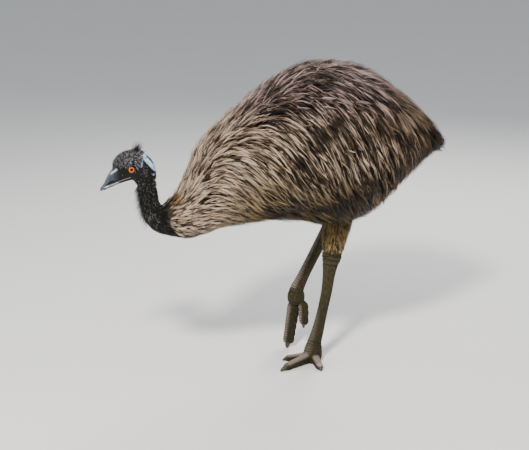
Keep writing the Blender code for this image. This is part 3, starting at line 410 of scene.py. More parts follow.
# Painted highlights on the bill, and its painted bluish sheen.
BILL_HIGHLIGHT = (0.480, 0.540, 0.600)
BILL_BLUE_SHEEN = (0.056, 0.078, 0.104)
BILL_SKIN = (0.024, 0.030, 0.040)
CLAW_DARK = (0.022, 0.018, 0.017)
PUPIL_BLACK = (0.003, 0.003, 0.003)
IRIS_EDGE = (0.34, 0.070, 0.004)
IRIS_ORANGE = (0.78, 0.210, 0.010)
EYE_BLACK = (0.004, 0.004, 0.004)

# The coat's colours by region as seen from its side: place, inner and outer distance, and what is added to
# the tone there, or the tint. Painted light and shade are among them.
# Among the lifts, those on the chest and the top of the shoulder are painted highlights. The small dark
# ones are painted shade, in gaps between clumps of feathers and where the body meets leg and neck, and so
# is the one low on the belly. The two broad dark ones darken the middle of the flank, and the one on the
# thigh makes its feathers paler.
LIFTS = (((-0.43, 0.70), (0.08, 0.31), 0.27), ((-0.33, 0.95), (0.02, 0.14), 0.16),
         ((-0.18, 0.785), (0.010, 0.060), -0.19), ((-0.12, 0.755), (0.010, 0.050), -0.19),
         ((-0.125, 0.875), (0.010, 0.055), -0.19), ((-0.04, 0.925), (0.010, 0.060), -0.19),
         ((0.058, 0.645), (0.020, 0.085), -0.20), ((-0.50, 0.87), (0.005, 0.040), -0.20),
         ((0.18, 0.77), (0.050, 0.200), -0.09), ((-0.04, 0.82), (0.060, 0.170), -0.06),
         ((-0.24, 0.60), (0.050, 0.150), -0.14), ((0.062, 0.520), (0.030, 0.100), 0.12))
# Tints: low on the belly, painted light bounced up into the shade; SHADE_TINT is painted shade low on the
# body by the leg, under the rump and at the neck's root.
TINTS = (((-0.03, 0.56), (0.08, 0.22), BOUNCE_TINT), ((-0.25, 0.61), (0.03, 0.22), BOUNCE_TINT),
         ((0.05, 0.62), (0.03, 0.15), SHADE_TINT), ((0.26, 0.60), (0.07, 0.24), SHADE_TINT),
         ((0.43, 0.77), (0.06, 0.17), TAIL_TINT), ((-0.545, 0.684), (0.012, 0.036), SHADE_TINT),
         ((0.062, 0.455), (0.060, 0.120), THIGH_TINT))
LOW_NECK = ((-0.632, 0.617), 0.012, 0.040)
# Tones of the coat, from painted shade in the gaps up to the painted highlight on the shafts.
COAT_RAMP = ((0.12, GAP_SHADE), (0.32, BROWN_DARK), (0.48, BROWN_MID), (0.64, BROWN_PALE),
             (0.84, SHAFT_HIGHLIGHT))
COAT_PATCHES, PATCH_RAMP, PATCH_SHARE = (11.0, 3.0), ((0.34, 0.0), (0.44, 1.0)), 0.35
# Along a strand: near black at the root, which is painted shade under the feathers over it, full in the
# middle, darker at the tip.
STRAND_RAMP = ((0.0, 0.05), (0.40, 0.85), (0.80, 1.0), (1.0, 0.55))
SKIN_TONE = 0.06
FLECK_TONE, FLECK_FADE = 0.80, (0.04, -0.02)
CLUMPS, CLUMP_RAMP = (170.0, 2.0), ((0.40, 0.12), (0.60, 1.0))

# Along one axis of the frame: where a finish is there in full, and where it has faded out.
BACK_FADE = (1.00, 0.90)
REAR_FADE = (0.42, 0.12)
NECK_FADE = (-0.590, -0.565)
LEG_FADE = (0.60, 0.64)
BEHIND_NECK_FADE = (-0.34, -0.38)
LOW_LEG_FADE = (0.14, 0.36)
MIDLINE_FADE = (0.010, 0.005)

# How far the edges of markings stray on coat, head, lips and bill, and the scale of it.
COAT_UNEVEN, HEAD_UNEVEN, LIP_UNEVEN, BILL_UNEVEN = 0.05, 0.006, 0.0015, 0.001
UNEVEN_SCALE = 160.0

# Marks on skin and bill: place, inner and outer distance, strength, colour. The sheen and the glint are
# painted highlights, the culmen's blue is a painted sheen, and the nostril's dark is painted shade.
LIP_MARKS = ((LIP, 0.0009, 0.0020, 0.28, MOUTH_PALE),)
SKIN_MARKS = ((BILL_ROOT, 0.006, 0.020, 1.0, BILL_SKIN), (BILL_SHEEN, 0.0008, 0.0045, 0.8, BILL_HIGHLIGHT),
              (EAR, 0.001, 0.010, 0.16, FLECK))
BILL_MARKS = ((CULMEN, 0.003, 0.015, 0.75, BILL_BLUE_SHEEN), (BILL_SHEEN, 0.0006, 0.0044, 0.75, BILL_HIGHLIGHT),
              (BILL_EDGE, 0.0014, 0.0028, 0.45, MOUTH_PALE),
              (BILL_GLINT, 0.0008, 0.0026, 0.85, BILL_HIGHLIGHT), (NOSTRIL, 0.0004, 0.0016, 1.0, GAP_SHADE))


def unit(vectors):
    """Vectors at length one, along the last axis."""
    vectors = np.asarray(vectors, dtype=float)
    return vectors / np.maximum(np.linalg.norm(vectors, axis=-1, keepdims=True), 1e-12)


def smooth_rows(rows, places):
    """Rows at places between the given rows, on a curve through all of them."""
    table = np.asarray(rows, dtype=float)
    last = len(table) - 1
    places = np.clip(np.asarray(places, dtype=float), 0.0, last)
    index = np.minimum(places.astype(int), last - 1)
    step = (places - index)[:, None]
    padded = np.vstack([2.0 * table[0] - table[1], table, 2.0 * table[-1] - table[-2]])
    before, near, far, after = (padded[index + shift] for shift in range(4))
    slope_near, slope_far = 0.5 * (far - before), 0.5 * (after - near)
    square, cube = step ** 2, step ** 3
    return ((2 * cube - 3 * square + 1) * near + (cube - 2 * square + step) * slope_near
            + (3 * square - 2 * cube) * far + (cube - square) * slope_far)


def turns(sides):
    """Angles of the sides of a ring."""
    return 2.0 * np.pi * np.arange(sides) / sides


def rising(value, start, reach):
    """Nothing up to a start, one from a reach past it on. A negative reach falls the other way."""
    return np.clip((value - start) / reach, 0.0, 1.0)


def bump(value, centre, half):
    """A smooth bump of one at a centre, falling to nothing at half a width away."""
    share = np.clip(np.abs(value - centre) / half, 0.0, 1.0)
    return (1.0 - share ** 2) ** 2


def distance(points, place):
    """Distances of points from a point, or from the straight line between two points."""
    place = np.asarray(place, dtype=float)
    if place.ndim == 1:
        return np.linalg.norm(points - place, axis=-1)
    start, run = place[0], place[1] - place[0]
    share = np.clip((points - start) @ run / (run @ run), 0.0, 1.0)
    return np.linalg.norm(points - start - share[..., None] * run, axis=-1)


def run_along(line):
    """The length of a line of points up to each of them."""
    return np.concatenate([[0.0], np.cumsum(np.linalg.norm(np.diff(line, axis=0), axis=1))])


def nearest_station(points, line):
    """The nearest station of a line to each point, and the distance to it."""
    best = np.full(len(points), np.inf)
    index = np.zeros(len(points), dtype=int)
    for step, station in enumerate(line):
        far = np.linalg.norm(points - station, axis=1)
        closer = far < best
        best[closer] = far[closer]
        index[closer] = step
    return index, best


def head_place(points):
    """World places of points given forward of the neck's top, towards the bird's left, and up."""
    points = np.asarray(points, dtype=float)
    forward, left, height = points[..., :1], points[..., 1:2], points[..., 2:3]
    return HEAD_START + forward * HEAD_FORWARD + left * HEAD_LEFT + height * UP


def head_side(points):
    """Places as seen from the head's side: forward of the neck's top, and height."""
    return np.stack([(points - HEAD_START) @ HEAD_FORWARD, points[..., 2]], axis=-1)


def head_row(row):
    """A ring of the head as its upper point, its lower point and its half width to the left."""
    upper = head_place([row[0], 0.0, row[1]])
    lower = head_place([row[2], 0.0, row[3]])
    return np.concatenate([upper, lower, row[4] * HEAD_LEFT])


def body_row(row):
    """A ring of the neck or body in the same form."""
    return np.array([row[0], 0.0, row[1], row[2], 0.0, row[3], 0.0, -row[4], 0.0])


def bird_rows():
    """Rings from the bill's base over the head and down the neck to the tip of the tail."""
    return np.array([head_row(row) for row in reversed(SKULL)] + [body_row(row) for row in NECK + BODY])


def ring_points(rows, angles, power=1.0):
    """Points of rings: shape rings, sides, 3. A power under one squares them off."""
    up, left = (np.sign(wave) * np.abs(wave) ** power for wave in (np.cos(angles), np.sin(angles)))
    middle = 0.5 * (rows[:, None, 0:3] + rows[:, None, 3:6])
    reach = 0.5 * (rows[:, None, 0:3] - rows[:, None, 3:6])
    return middle + reach * up[None, :, None] + rows[:, None, 6:9] * left[None, :, None]


def grid_normals(points):
    """Outward normals of a grid of points that closes round its second axis."""
    along = np.gradient(points, axis=0)
    around = np.roll(points, -1, axis=1) - np.roll(points, 1, axis=1)
    return unit(np.cross(around, along))


def grid_line(points):
    """The way that a grid of rings runs, for each ring."""
    return unit(np.gradient(points.mean(axis=1), axis=0))[:, None, :]


def skin_depth(places):
    """How far the skin lies under the feather tips, along the whole bird."""
    body = np.maximum(places - BODY_AT, 0.0)
    width = smooth_rows(BODY, body)[:, 4]
    coat = np.minimum(COAT_DEPTH * np.minimum(1.0, body / FULL_DEPTH_AT), DEPTH_OF_HALF_WIDTH * width)
    return np.maximum(coat, np.interp(places, *DOWN_DEPTH))


def in_box(box, shares):
    """Places in a box of the bake map, from their shares across and up it."""
    low, high = np.array(box[:2]), np.array(box[2:])
    return low + (high - low) * np.asarray(shares)


def low_part(box, share):
    """The lower part of a box."""
    return (box[0], box[1], box[2], box[1] + (box[3] - box[1]) * share)


class Surface:
    """A feathered surface with its skin under it, read at any place along it and turn round it."""

    def __init__(self, places, points, depth, lie, uv_box, end):
        self.places, self.points, self.depth, self.end = places, points, depth, end
        self.step, self.sides = places[1] - places[0], points.shape[1]
        self.angles = turns(self.sides)
        self.normals = grid_normals(points)
        self.skin = points - self.normals * depth[:, None, None]
        self.by_place = np.gradient(points, self.step, axis=0)
        span = 4.0 * np.pi / self.sides
        self.by_angle = (np.roll(points, -1, axis=1) - np.roll(points, 1, axis=1)) / span
        self.lie = unit(lie - self.normals * np.sum(lie * self.normals, axis=-1, keepdims=True))
        self.change = self.change_along_lie()
        self.uv_box = uv_box

    def change_along_lie(self):
        """The change of place and angle for each metre along the lie."""
        a, b = self.by_place, self.by_angle
        aa, ab, bb = (a * a).sum(-1), (a * b).sum(-1), (b * b).sum(-1)
        ad, bd = (a * self.lie).sum(-1), (b * self.lie).sum(-1)
        size = np.maximum(aa * bb - ab * ab, 1e-12)
        return np.stack([(bb * ad - ab * bd) / size, (aa * bd - ab * ad) / size], axis=-1)

    def read(self, table, places, angles):
        """Values of a table between its points."""
        row = np.clip((places - self.places[0]) / self.step, 0.0, len(self.places) - 1.001)
        column = (angles / (2.0 * np.pi) * self.sides) % self.sides
        i, j = row.astype(int), column.astype(int) % self.sides
        u, v = row - i, column - np.floor(column)
        if table.ndim == 1:
            return table[i] * (1 - u) + table[i + 1] * u
        if table.ndim > 2:
            u, v = u[..., None], v[..., None]
        k = (j + 1) % self.sides
        near = table[i, j] * (1 - v) + table[i, k] * v
        far = table[i + 1, j] * (1 - v) + table[i + 1, k] * v
        return near * (1 - u) + far * u

    def uv(self, places, angles):
        """The place of a root on the unwrap of the skin."""
        share = (places - self.places[0]) / (self.places[-1] - self.places[0])
        return in_box(self.uv_box, np.stack([angles / (2.0 * np.pi) % 1.0, share], axis=-1))

    def roots(self, count, first, last, draw, weight=None):
        """Random roots spread evenly over the area between two places."""
        area = np.linalg.norm(np.cross(self.by_place, self.by_angle), axis=-1)
        share = area * ((self.places >= first) & (self.places <= last))[:, None]
        if weight is not None:
            share = share * weight(self)
        total = np.cumsum(share.ravel())
        picks = np.searchsorted(total, (np.arange(count) + draw.random(count)) / count * total[-1])
        i, j = np.divmod(np.minimum(picks, share.size - 1), self.sides)
        places = self.places[i] + (draw.random(count) - 0.5) * self.step
        angles = self.angles[j] + (draw.random(count) - 0.5) * 2.0 * np.pi / self.sides
        return places, angles

    def trace(self, places, angles, lengths, stations, turn):
        """Stations under feathers, down the lie, with the surface's normals and ways there.

        Past the surface's end a feather runs on and hangs, by a reach of its own.
        """
        places, angles = places.copy(), angles.copy()
        beyond = np.zeros(len(places))
        skins, normals, ways = [], [], []
        step = lengths / (stations - 1)
        reach = TAIL_REACH[0] + (TAIL_REACH[1] - TAIL_REACH[0]) * (np.abs(turn) % 1.0)
        for _ in range(stations):
            way = unit(self.read(self.lie, places, angles))
            free = np.minimum(beyond, reach)[:, None]
            skins.append(self.read(self.skin, places, angles) + (way - UP * TAIL_DROOP) * free)
            normals.append(unit(self.read(self.normals, places, angles)))
            ways.append(way)
            change = self.read(self.change, places, angles)
            ahead = places + change[:, 0] * step
            passed = ahead > self.end
            beyond = beyond + np.where(passed, step, 0.0)
            places = np.where(passed, places, ahead)
            angles = np.where(passed, angles, angles + change[:, 1] * step + turn * step)
        return np.stack(skins, 1), np.stack(normals, 1), np.stack(ways, 1)


def bird_surface():
    """The surface of head, neck and body out to the feather tips, with the lie of the coat."""
    places = np.arange(0.0, TAIL_AT + 1e-6, TABLE_STEP)
    angles = turns(TABLE_SIDES)
    points = ring_points(smooth_rows(bird_rows(), places), angles)
    body = places - BODY_AT
    fall = np.interp(body, *FALL) * rising(body, *FALL_START)
    down = np.zeros_like(points)
    down[..., 2] = -fall[:, None] * np.abs(np.sin(angles))[None, :] ** FALL_CURVE
    return Surface(places, points, skin_depth(places), grid_line(points) + down, SKIN_BOX, SKIN_END)


def leg_surface(leg):
    """The feathered upper leg, down to just over the hock."""
    places = np.arange(0.0, FLUFF_END + 0.01, TABLE_STEP)
    points = leg_grid(leg.rows, places, THIGH_SIDES)
    box = low_part(leg.box, LEG_SHARE * FLUFF_END / (len(leg.rows) - 1.0))
    lie = grid_line(points) + np.zeros_like(points)
    return Surface(places, points, np.interp(places, *THIGH_DEPTH), lie, box, np.inf)


def placed(name, data):
    """An object in the scene."""
    item = bpy.data.objects.new(name, data)
    bpy.context.scene.collection.objects.link(item)
    return item


def carry(mesh, name, values):
    """Let a mesh carry a value at each of its points."""
    attribute = mesh.attributes.new(name, "FLOAT", "POINT")
    attribute.data.foreach_set("value", np.asarray(values, dtype=np.float32))


def unwrap(mesh, uvs):
    """Give each corner of a mesh its place on the bake map."""
    layer = mesh.uv_layers.get("OFBake") or mesh.uv_layers.new(name="OFBake")
    layer.data.foreach_set("uv", np.asarray(uvs, dtype=np.float32).ravel())


def applied(item):
    """The mesh that an object's modifiers make, put in the place of its own."""
    graph = bpy.context.evaluated_depsgraph_get()
    mesh = bpy.data.meshes.new_from_object(item.evaluated_get(graph))
    item.modifiers.clear()
    item.data = mesh
    return mesh


def strand_mesh(name, strands):
    """One object of closed three-sided strands that taper to a tip."""
    points = strands.points
    count, steps = points.shape[:2]
    along = unit(np.gradient(points, axis=1))
    across = unit(np.cross(strands.normals, along))
    upward = unit(np.cross(along, across))
    aside = across * strands.widths[..., None]
    above = upward * (strands.widths * THICKNESS_SHARE)[..., None]
    rings = np.stack([points - aside, points + above, points + aside], axis=2)[:, :-1]
    vertices = np.concatenate([rings.reshape(count, -1, 3), points[:, -1:]], axis=1)
    each = vertices.shape[1]
    faces = []
    for ring in range(steps - 2):
        for side in range(3):
            near, beside = ring * 3 + side, ring * 3 + (side + 1) % 3
            faces += [(near, near + 3, beside), (beside, near + 3, beside + 3)]
    start = (steps - 2) * 3
    faces += [(start + side, each - 1, start + (side + 1) % 3) for side in range(3)]
    faces.append((0, 1, 2))
    corners = (np.array(faces)[None] + (np.arange(count) * each)[:, None, None]).ravel()
    mesh = bpy.data.meshes.new(name)
    mesh.vertices.add(count * each)
    mesh.vertices.foreach_set("co", vertices.astype(np.float32).ravel())
    mesh.loops.add(corners.size)
    mesh.loops.foreach_set("vertex_index", corners.astype(np.int32))
    mesh.polygons.add(corners.size // 3)
    mesh.polygons.foreach_set("loop_start", np.arange(0, corners.size, 3, dtype=np.int32))
    share = np.concatenate([np.repeat(np.arange(steps - 1), 3), [steps - 1]]) / (steps - 1.0)
    side = np.concatenate([np.tile([-0.5, 0.0, 0.5], steps - 1), [0.0]])
    patch = np.stack([side, share - 0.5], axis=1) * PATCH
    unwrap(mesh, (strands.uvs[:, None] + patch).reshape(-1, 2)[corners])
    carry(mesh, "tone", np.repeat(strands.tones, each))
    carry(mesh, "along", np.tile(share, count))
    mesh.update(calc_edges=True)
    mesh.validate()
    mesh.shade_smooth()
    return placed(name, mesh)


def sprays(surface, roots, lengths, layer, draw):
    """Feathers of a layer as sprays of strands, without strands that stray too far."""
    places, angles = roots
    count, stations = len(places), layer.stations
    turn = draw.normal(0.0, TURN_SPREAD, count)
    skins, normals, ways = surface.trace(places, angles, lengths, stations, turn)
    share = np.linspace(0.0, 1.0, stations)
    rise = 1.0 - (1.0 - share) ** RISE_POWER
    height = surface.read(surface.depth, places, angles) * draw.uniform(layer.low, layer.high, count)
    across = unit(np.cross(normals, ways))
    fan = np.interp(share, *FAN) * layer.spray
    feather_tone = draw.normal(0.0, FEATHER_SPREAD, count)
    parts = []
    for strand in range(layer.strands):
        offset = 2.0 * strand / (layer.strands - 1.0) - 1.0
        aside = offset * fan[None] * draw.uniform(*FAN_RANGE, (count, 1))
        above = height[:, None] * rise[None] + draw.normal(0.0, HEIGHT_SPREAD, (count, 1)) * share
        above[:, 0] = -ROOT_SINK
        points = skins + across * aside[..., None] + normals * above[..., None]
        short = draw.uniform(*STRAND_LENGTH_RANGE, count) * (1.0 - OUTER_SHORTER * abs(offset))
        points = points[:, :1] + (points - points[:, :1]) * short[:, None, None]
        widths = layer.width * np.interp(share, *TAPER) * draw.uniform(*WIDTH_RANGE, (count, 1))
        # The middle strand gets a painted highlight along its shaft.
        tones = layer.tone + feather_tone + SHAFT_HIGHLIGHT_LIFT * (0.5 - abs(offset))
        tones = np.clip(tones + draw.normal(0.0, TONE_SPREAD, count), 0.0, 1.0)
        reach = np.linalg.norm(np.diff(points, axis=1), axis=-1).max(axis=1)
        keep = reach < STRAY * lengths / (stations - 1)
        whole = (points, normals, widths, tones, surface.uv(places, angles), places)
        parts.append([values[keep] for values in whole])
    return Strands(*(np.concatenate(group) for group in zip(*parts)))


def coat_pieces(name, strands):
    """Strands cut into objects of less than the most triangles that one may have."""
    order = np.argsort(strands.places, kind="stable")
    size = PIECE_TRIANGLES // (6 * (strands.points.shape[1] - 2) + 4)
    picks = [order[start:start + size] for start in range(0, len(order), size)]
    return [strand_mesh("%s_%02d" % (name, number), Strands(*(values[pick] for values in strands)))
            for number, pick in enumerate(picks, 1)]


def plumage(surface):
    """The long loose feathers of the body, as sprays of strands, in pieces."""
    draw = np.random.default_rng(COAT_SEED)
    pieces = []
    for layer in (UNDER, OVER):
        places, angles = surface.roots(layer.count, RUFF_AT, SKIN_END - RUFF_EDGE, draw, behind_neck)
        body = places - BODY_AT
        ruff = layer._replace(high=layer.high * (1.0 + RUFF_LIFT * bump(body, RUFF_PLACE, RUFF_HALF)))
        lengths = np.interp(body, *FEATHER_LENGTH) * layer.length * draw.uniform(*LENGTH_RANGE, layer.count)
        strands = sprays(surface, (places, angles), lengths, ruff, draw)
        shrink = np.interp(strands.places - BODY_AT, *WIDTH_BY_PLACE)
        strands = strands._replace(widths=strands.widths * shrink[:, None])
        pieces += coat_pieces(layer.name, strands)
    return pieces


def thigh_feathers(leg):
    """Short fluffy feathers round the leg, thinning out above the hock."""
    surface = leg_surface(leg)
    draw = np.random.default_rng(THIGH_SEED)
    roots = surface.roots(THIGH.count, THIGH_START, THIGH_END, draw)
    lengths = np.interp(roots[0], *THIGH_LENGTH) * draw.uniform(*SHORT_LENGTH_RANGE, THIGH.count)
    return coat_pieces("%s_%s" % (THIGH.name, leg.side), sprays(surface, roots, lengths, THIGH, draw))


def off_bare_marks(side):
    """One on the feathered part of the head, nothing on the bare nape and its spots."""
    shares = [distance(side, line) / half for line, half, _ in NAPE_BANDS]
    shares += [distance(side, spot) / SPOT_REACH for spot in NAPE_SPOTS]
    return rising(np.minimum.reduce(shares), *BARE_EDGE)


def on_crown(surface):
    """Where the head has its coarse feathers: over the eye, but not on the bare nape."""
    side = head_side(surface.points)
    forward, height = side[..., 0], side[..., 1]
    ahead = rising(forward - (CROWN_TOP - height) * CROWN_LEAN, *CROWN_BACK)
    off_eye = rising(distance(side, EYE_SIDE), *EYE_RING)
    return rising(height, *CROWN_EDGE) * ahead * off_eye * off_bare_marks(side)


def on_face(surface):
    """Where the head has its fine bristles: under the eye and behind it, away from mouth and nape."""
    side = head_side(surface.points)
    off_mouth = rising(distance(side, MOUTH), *FACE_MOUTH)
    off_eye = rising(distance(side, EYE_SIDE), *FACE_EYE)
    off_bill = rising(side[..., 0], *FACE_FRONT)
    return (1.0 - on_crown(surface)) * off_bare_marks(side) * off_mouth * off_eye * off_bill


def on_tuft(surface):
    """The tuft on the back of the crown."""
    return rising(distance(surface.points, head_place(TUFT)), *TUFT_REACH)


def on_throat(surface):
    """The front of the neck."""
    return rising(surface.normals @ FRINGE_WAY, *FRINGE_TURN) * (surface.points[..., 2] < FRINGE_TOP)


def behind_neck(surface):
    """From the ruff on, which starts further forward over the neck; denser where feathers are short."""
    under = np.clip(-np.cos(surface.angles), 0.0, 1.0)[None]
    dense = FEATHER_LENGTH[1][-1] / np.interp(surface.places - BODY_AT, *FEATHER_LENGTH)
    return rising(surface.places[:, None], RUFF_AT + RUFF_SLANT * under, RUFF_EDGE) * dense[:, None]


def on_bare_neck(surface):
    """The neck in front of the ruff."""
    return (behind_neck(surface) <= 0.0) * off_bare_marks(head_side(surface.points))


# Patches of short feathers: name, slot, where they grow, count, first and last place, lengths at
# places, how far they stand up, half width, share of pale ones, and how far their turns stray.
Patch = namedtuple("Patch", "name slot where count first last lengths lift width flecks stray")
PATCHES = (
    Patch("crown_feathers", "head_feathers", on_crown, 6500, 0.3, 8.0,
          ((0.3, 3.0, 8.0), (0.006, 0.0110, 0.013)), 0.42, 0.00055, 0.42, 16.0),
    Patch("crown_tuft", "head_feathers", on_tuft, 220, 1.5, 6.5,
          ((1.5, 6.5), (0.010, 0.011)), 2.4, 0.0005, 0.15, 12.0),
    Patch("face_bristles", "head_feathers", on_face, 2200, 0.8, 8.5,
          ((0.8, 4.0, 8.5), (0.003, 0.006, 0.009)), 0.12, 0.0004, 0.07, 8.0),
    Patch("neck_down", "neck_feathers", on_bare_neck, 6000, 8.3, BODY_AT,
          ((8.3, 10.0, BODY_AT), (0.009, 0.013, 0.018)), 0.16, 0.00070, 0.11, 10.0),
    Patch("neck_fringe", "neck_feathers", on_throat, 1000, 8.4, BODY_AT - 1.6,
          ((8.4, 10.0, BODY_AT), (0.014, 0.022, 0.020)), 0.80, 0.00045, 0.70, 8.0),
)


def short_feathers(surface, patch, draw):
    """Short hair-like feathers of one patch on the neck or head."""
    count, stations = patch.count, len(SHORT_TAPER)
    places, angles = surface.roots(count, patch.first, patch.last, draw, patch.where)
    lengths = np.interp(places, *patch.lengths) * draw.uniform(*SHORT_LENGTH_RANGE, count)
    turn = draw.normal(0.0, patch.stray, count)
    skins, normals, _ = surface.trace(places, angles, lengths, stations, turn)
    lift = lengths[:, None] * patch.lift * draw.uniform(*LIFT_RANGE, (count, 1))
    share = np.linspace(0.0, 1.0, stations)
    height = (surface.read(surface.depth, places, angles)[:, None] + lift) * share ** SHORT_RISE_POWER
    height[:, 0] = -SHORT_ROOT_SINK
    widths = patch.width * SHORT_TAPER * draw.uniform(*WIDTH_RANGE, (count, 1))
    tones = draw.random(count) ** (math.log(FLECK_TONE) / math.log(1.0 - patch.flecks))
    points = skins + normals * height[..., None]
    uvs = surface.uv(places, angles)
    return strand_mesh(patch.name, Strands(points, normals, widths, tones, uvs, places))


def finished(name, vertices, faces, uvs):
    """A smooth object with its faces turned outwards."""
    mesh = bpy.data.meshes.new(name)
    mesh.from_pydata([tuple(point) for point in vertices], [], faces)
    unwrap(mesh, uvs)
    work = bmesh.new()
    work.from_mesh(mesh)
    bmesh.ops.recalc_face_normals(work, faces=work.faces)
    work.to_mesh(mesh)
    work.free()
    mesh.shade_smooth()
    return placed(name, mesh)


def wrapped_faces(rings, sides, closed=False):
    """Faces of a grid that closes round its sides, and their corners' shares round and along it."""
    faces, shares = [], []
    steps = rings if closed else rings - 1
    for ring in range(steps):
        for side in range(sides):
            corners = ((ring, side), (ring + 1, side), (ring + 1, side + 1), (ring, side + 1))
            faces.append(tuple(row % rings * sides + column % sides for row, column in corners))
            shares += [(column / sides, row / steps) for row, column in corners]
    return faces, shares


def grid_mesh(name, points, box):
    """A closed tube from a grid of points, with its unwrap in a box of the bake map."""
    rings, sides = points.shape[:2]
    faces, shares = wrapped_faces(rings, sides)
    for end, ring, level in ((rings * sides, 0, 0.0), (rings * sides + 1, rings - 1, 1.0)):
        for side in range(sides):
            faces.append((end, ring * sides + side, ring * sides + (side + 1) % sides))
            shares += [((side + step) / sides, level) for step in (0.5, 0.0, 1.0)]
    ends = [points[0].mean(axis=0), points[-1].mean(axis=0)]
    return finished(name, np.concatenate([points.reshape(-1, 3), ends]), faces, in_box(box, shares))


def raised(side, forms):
    """The rise of forms at places seen from the head's side."""
    return sum(rise * bump(distance(side, place), at, half) for place, rise, at, half in forms)


def skin_tube():
    """The skin of head, neck and body in one tube, with the forms of the face."""
    ends = (0.0, NECK_AT, BODY_AT, SKIN_END)
    spans = [np.linspace(first, last, count) for first, last, count in zip(ends, ends[1:], SKIN_RINGS)]
    places = np.unique(np.concatenate(spans))
    points = ring_points(smooth_rows(bird_rows(), places), turns(TABLE_SIDES))
    normals = grid_normals(points)
    points = points - normals * skin_depth(places)[:, None, None]
    side = head_side(points)
    hollow = np.clip(1.0 - distance(side, EYE_SIDE) / EYE_HOLLOW_REACH, 0.0, 1.0) ** EYE_HOLLOW_POWER
    rise = (raised(side, FACE_FORMS) - EYE_HOLLOW * hollow) * (places < NECK_AT)[:, None]
    return grid_mesh("skin", points + normals * rise[..., None], low_part(SKIN_BOX, SKIN_END / TAIL_AT))


def leg_grid(rows, places, sides):
    """Rings square to the line of a leg, with the first point of each at its front."""
    table = smooth_rows(rows, places)
    along = unit(np.gradient(table[:, :3], axis=0))
    forward = unit(TO_FRONT - along * (along @ TO_FRONT)[:, None])
    across = np.cross(along, forward)
    angles = turns(sides)
    fore = forward[:, None] * (table[:, 3, None] * np.cos(angles))[..., None]
    aside = across[:, None] * (table[:, 4, None] * np.sin(angles))[..., None]
    return table[:, None, :3] + fore + aside


def toe_frame(toe, shares, front):
    """The line of a toe with its sideways and upward directions."""
    line = smooth_rows(toe.points, shares)
    along = unit(np.gradient(line, axis=0))
    across = unit(np.cross(along, front))
    return line, across, np.cross(across, along)


def toe_grid(toe, shares, front, sides):
    """Rings along a toe."""
    line, across, upward = toe_frame(toe, shares, front)
    run = (shares / TOE_END)[:, None, None]
    angles = turns(sides)[None, :, None]
    width = toe.widths[0] + (toe.widths[1] - toe.widths[0]) * run
    height = toe.heights[0] + (toe.heights[1] - toe.heights[0]) * run
    above, aside = upward[:, None] * height * np.cos(angles), across[:, None] * width * np.sin(angles)
    return line[:, None] + above + aside


def rounded_toe(toe, front):
    """A toe that starts inside the foot and closes in a round end."""
    grid = toe_grid(toe, np.linspace(0.0, TOE_END, TOE_RINGS), front, TOE_SIDES)
    middle = grid[-1].mean(axis=0)
    ahead = unit(middle - grid[-3].mean(axis=0)) * TOE_TIP
    ends = [middle + (grid[-1] - middle) * math.cos(turn) + ahead * math.sin(turn)
            for turn in np.linspace(0.0, TOE_TIP_TURN, TOE_TIP_RINGS)[1:]]
    return np.concatenate([grid, np.array(ends)])


def scute_rise(count):
    """Overlapping plates over a running count of them: a slope that ends in a step."""
    share = count - np.floor(count)
    slope = np.minimum(1.0, PLATE_LOW + share / PLATE_SLOPE)
    return np.where(share < PLATE_EDGE, slope, PLATE_PEAK * (1.0 - share) / (1.0 - PLATE_EDGE))


def shank_detail(points, normals, leg):
    """Plates and creases down a leg: their rise, paleness and darkness, and how far out points are."""
    places = np.linspace(0.0, len(leg.rows) - 1.0, LEG_STATIONS)
    table = smooth_rows(leg.rows, places)
    length = run_along(table[:, :3])
    index, far = nearest_station(points, table[:, :3])
    run = length[index]
    low, foot = (np.interp(place, places, length) for place in (leg.scutes.start, ANKLE))
    narrow = np.interp(run, (low, foot), SCUTE_NARROW)
    fore = np.clip((normals @ TO_FRONT) * SCUTE_FORE - narrow, 0.0, 1.0)
    fore = fore * rising(run, low, SCUTE_FADES[0]) * rising(run, foot + leg.scutes.past, -SCUTE_FADES[1])
    plate = scute_rise(run / SCUTE_STEP)
    rise = SCUTE_HEIGHT * plate * fore
    pale = (0.10 + 0.90 * plate ** 2) * fore * leg.scutes.shank_pale
    dark = np.clip(1.0 - plate * 5.0, 0.0, 1.0) * fore
    for place, shift, depth, half, wave, shade in CREASES:
        waves = wave * np.sin(normals[:, 1] * CREASE_WAVES + shift * CREASE_SHIFT)
        crease = bump(run + waves, np.interp(place, places, length) + shift, half)
        rise -= depth * crease
        # Creases are painted dark, as shade.
        dark = np.maximum(dark, shade * crease)
    return rise, pale, dark, far / np.maximum(table[index, 3], 0.01)


def toe_detail(points, normals, leg, toe):
    """Plates over a toe and pads under it, in the same form, with the run along the toe."""
    shares = np.linspace(0.0, TOE_END, TOE_STATIONS)
    line, _, upward = toe_frame(toe, shares, leg.front)
    size = toe.widths[0] + (toe.widths[1] - toe.widths[0]) * shares / TOE_END
    index, far = nearest_station(points, line)
    run = run_along(line)[index]
    top = np.sum(normals * upward[index], axis=1)
    over = np.clip(top * leg.scutes.spread[0] - leg.scutes.spread[1], 0.0, 1.0)
    under = np.clip(-top * PAD_SPREAD, 0.0, 1.0)
    plate = scute_rise(run / TOE_SCUTE_STEP)
    pads = np.abs(np.sin(run / PAD_STEP * np.pi)) ** PAD_POWER
    swell_over, swell_under = leg.scutes.swell
    rise = (TOE_SCUTE_HEIGHT * plate + swell_over) * over + (PAD_HEIGHT * pads + swell_under) * under
    pale = (0.15 + 0.85 * plate ** 2) * over * leg.scutes.toe_pale
    # Under a toe, painted shade between the pads; over it, the dark joints between plates.
    dark = np.maximum(under * (1.0 - pads), np.clip(1.3 - plate * 3.2, 0.0, 1.0) * over)
    return rise, pale, dark, far / size[index], run


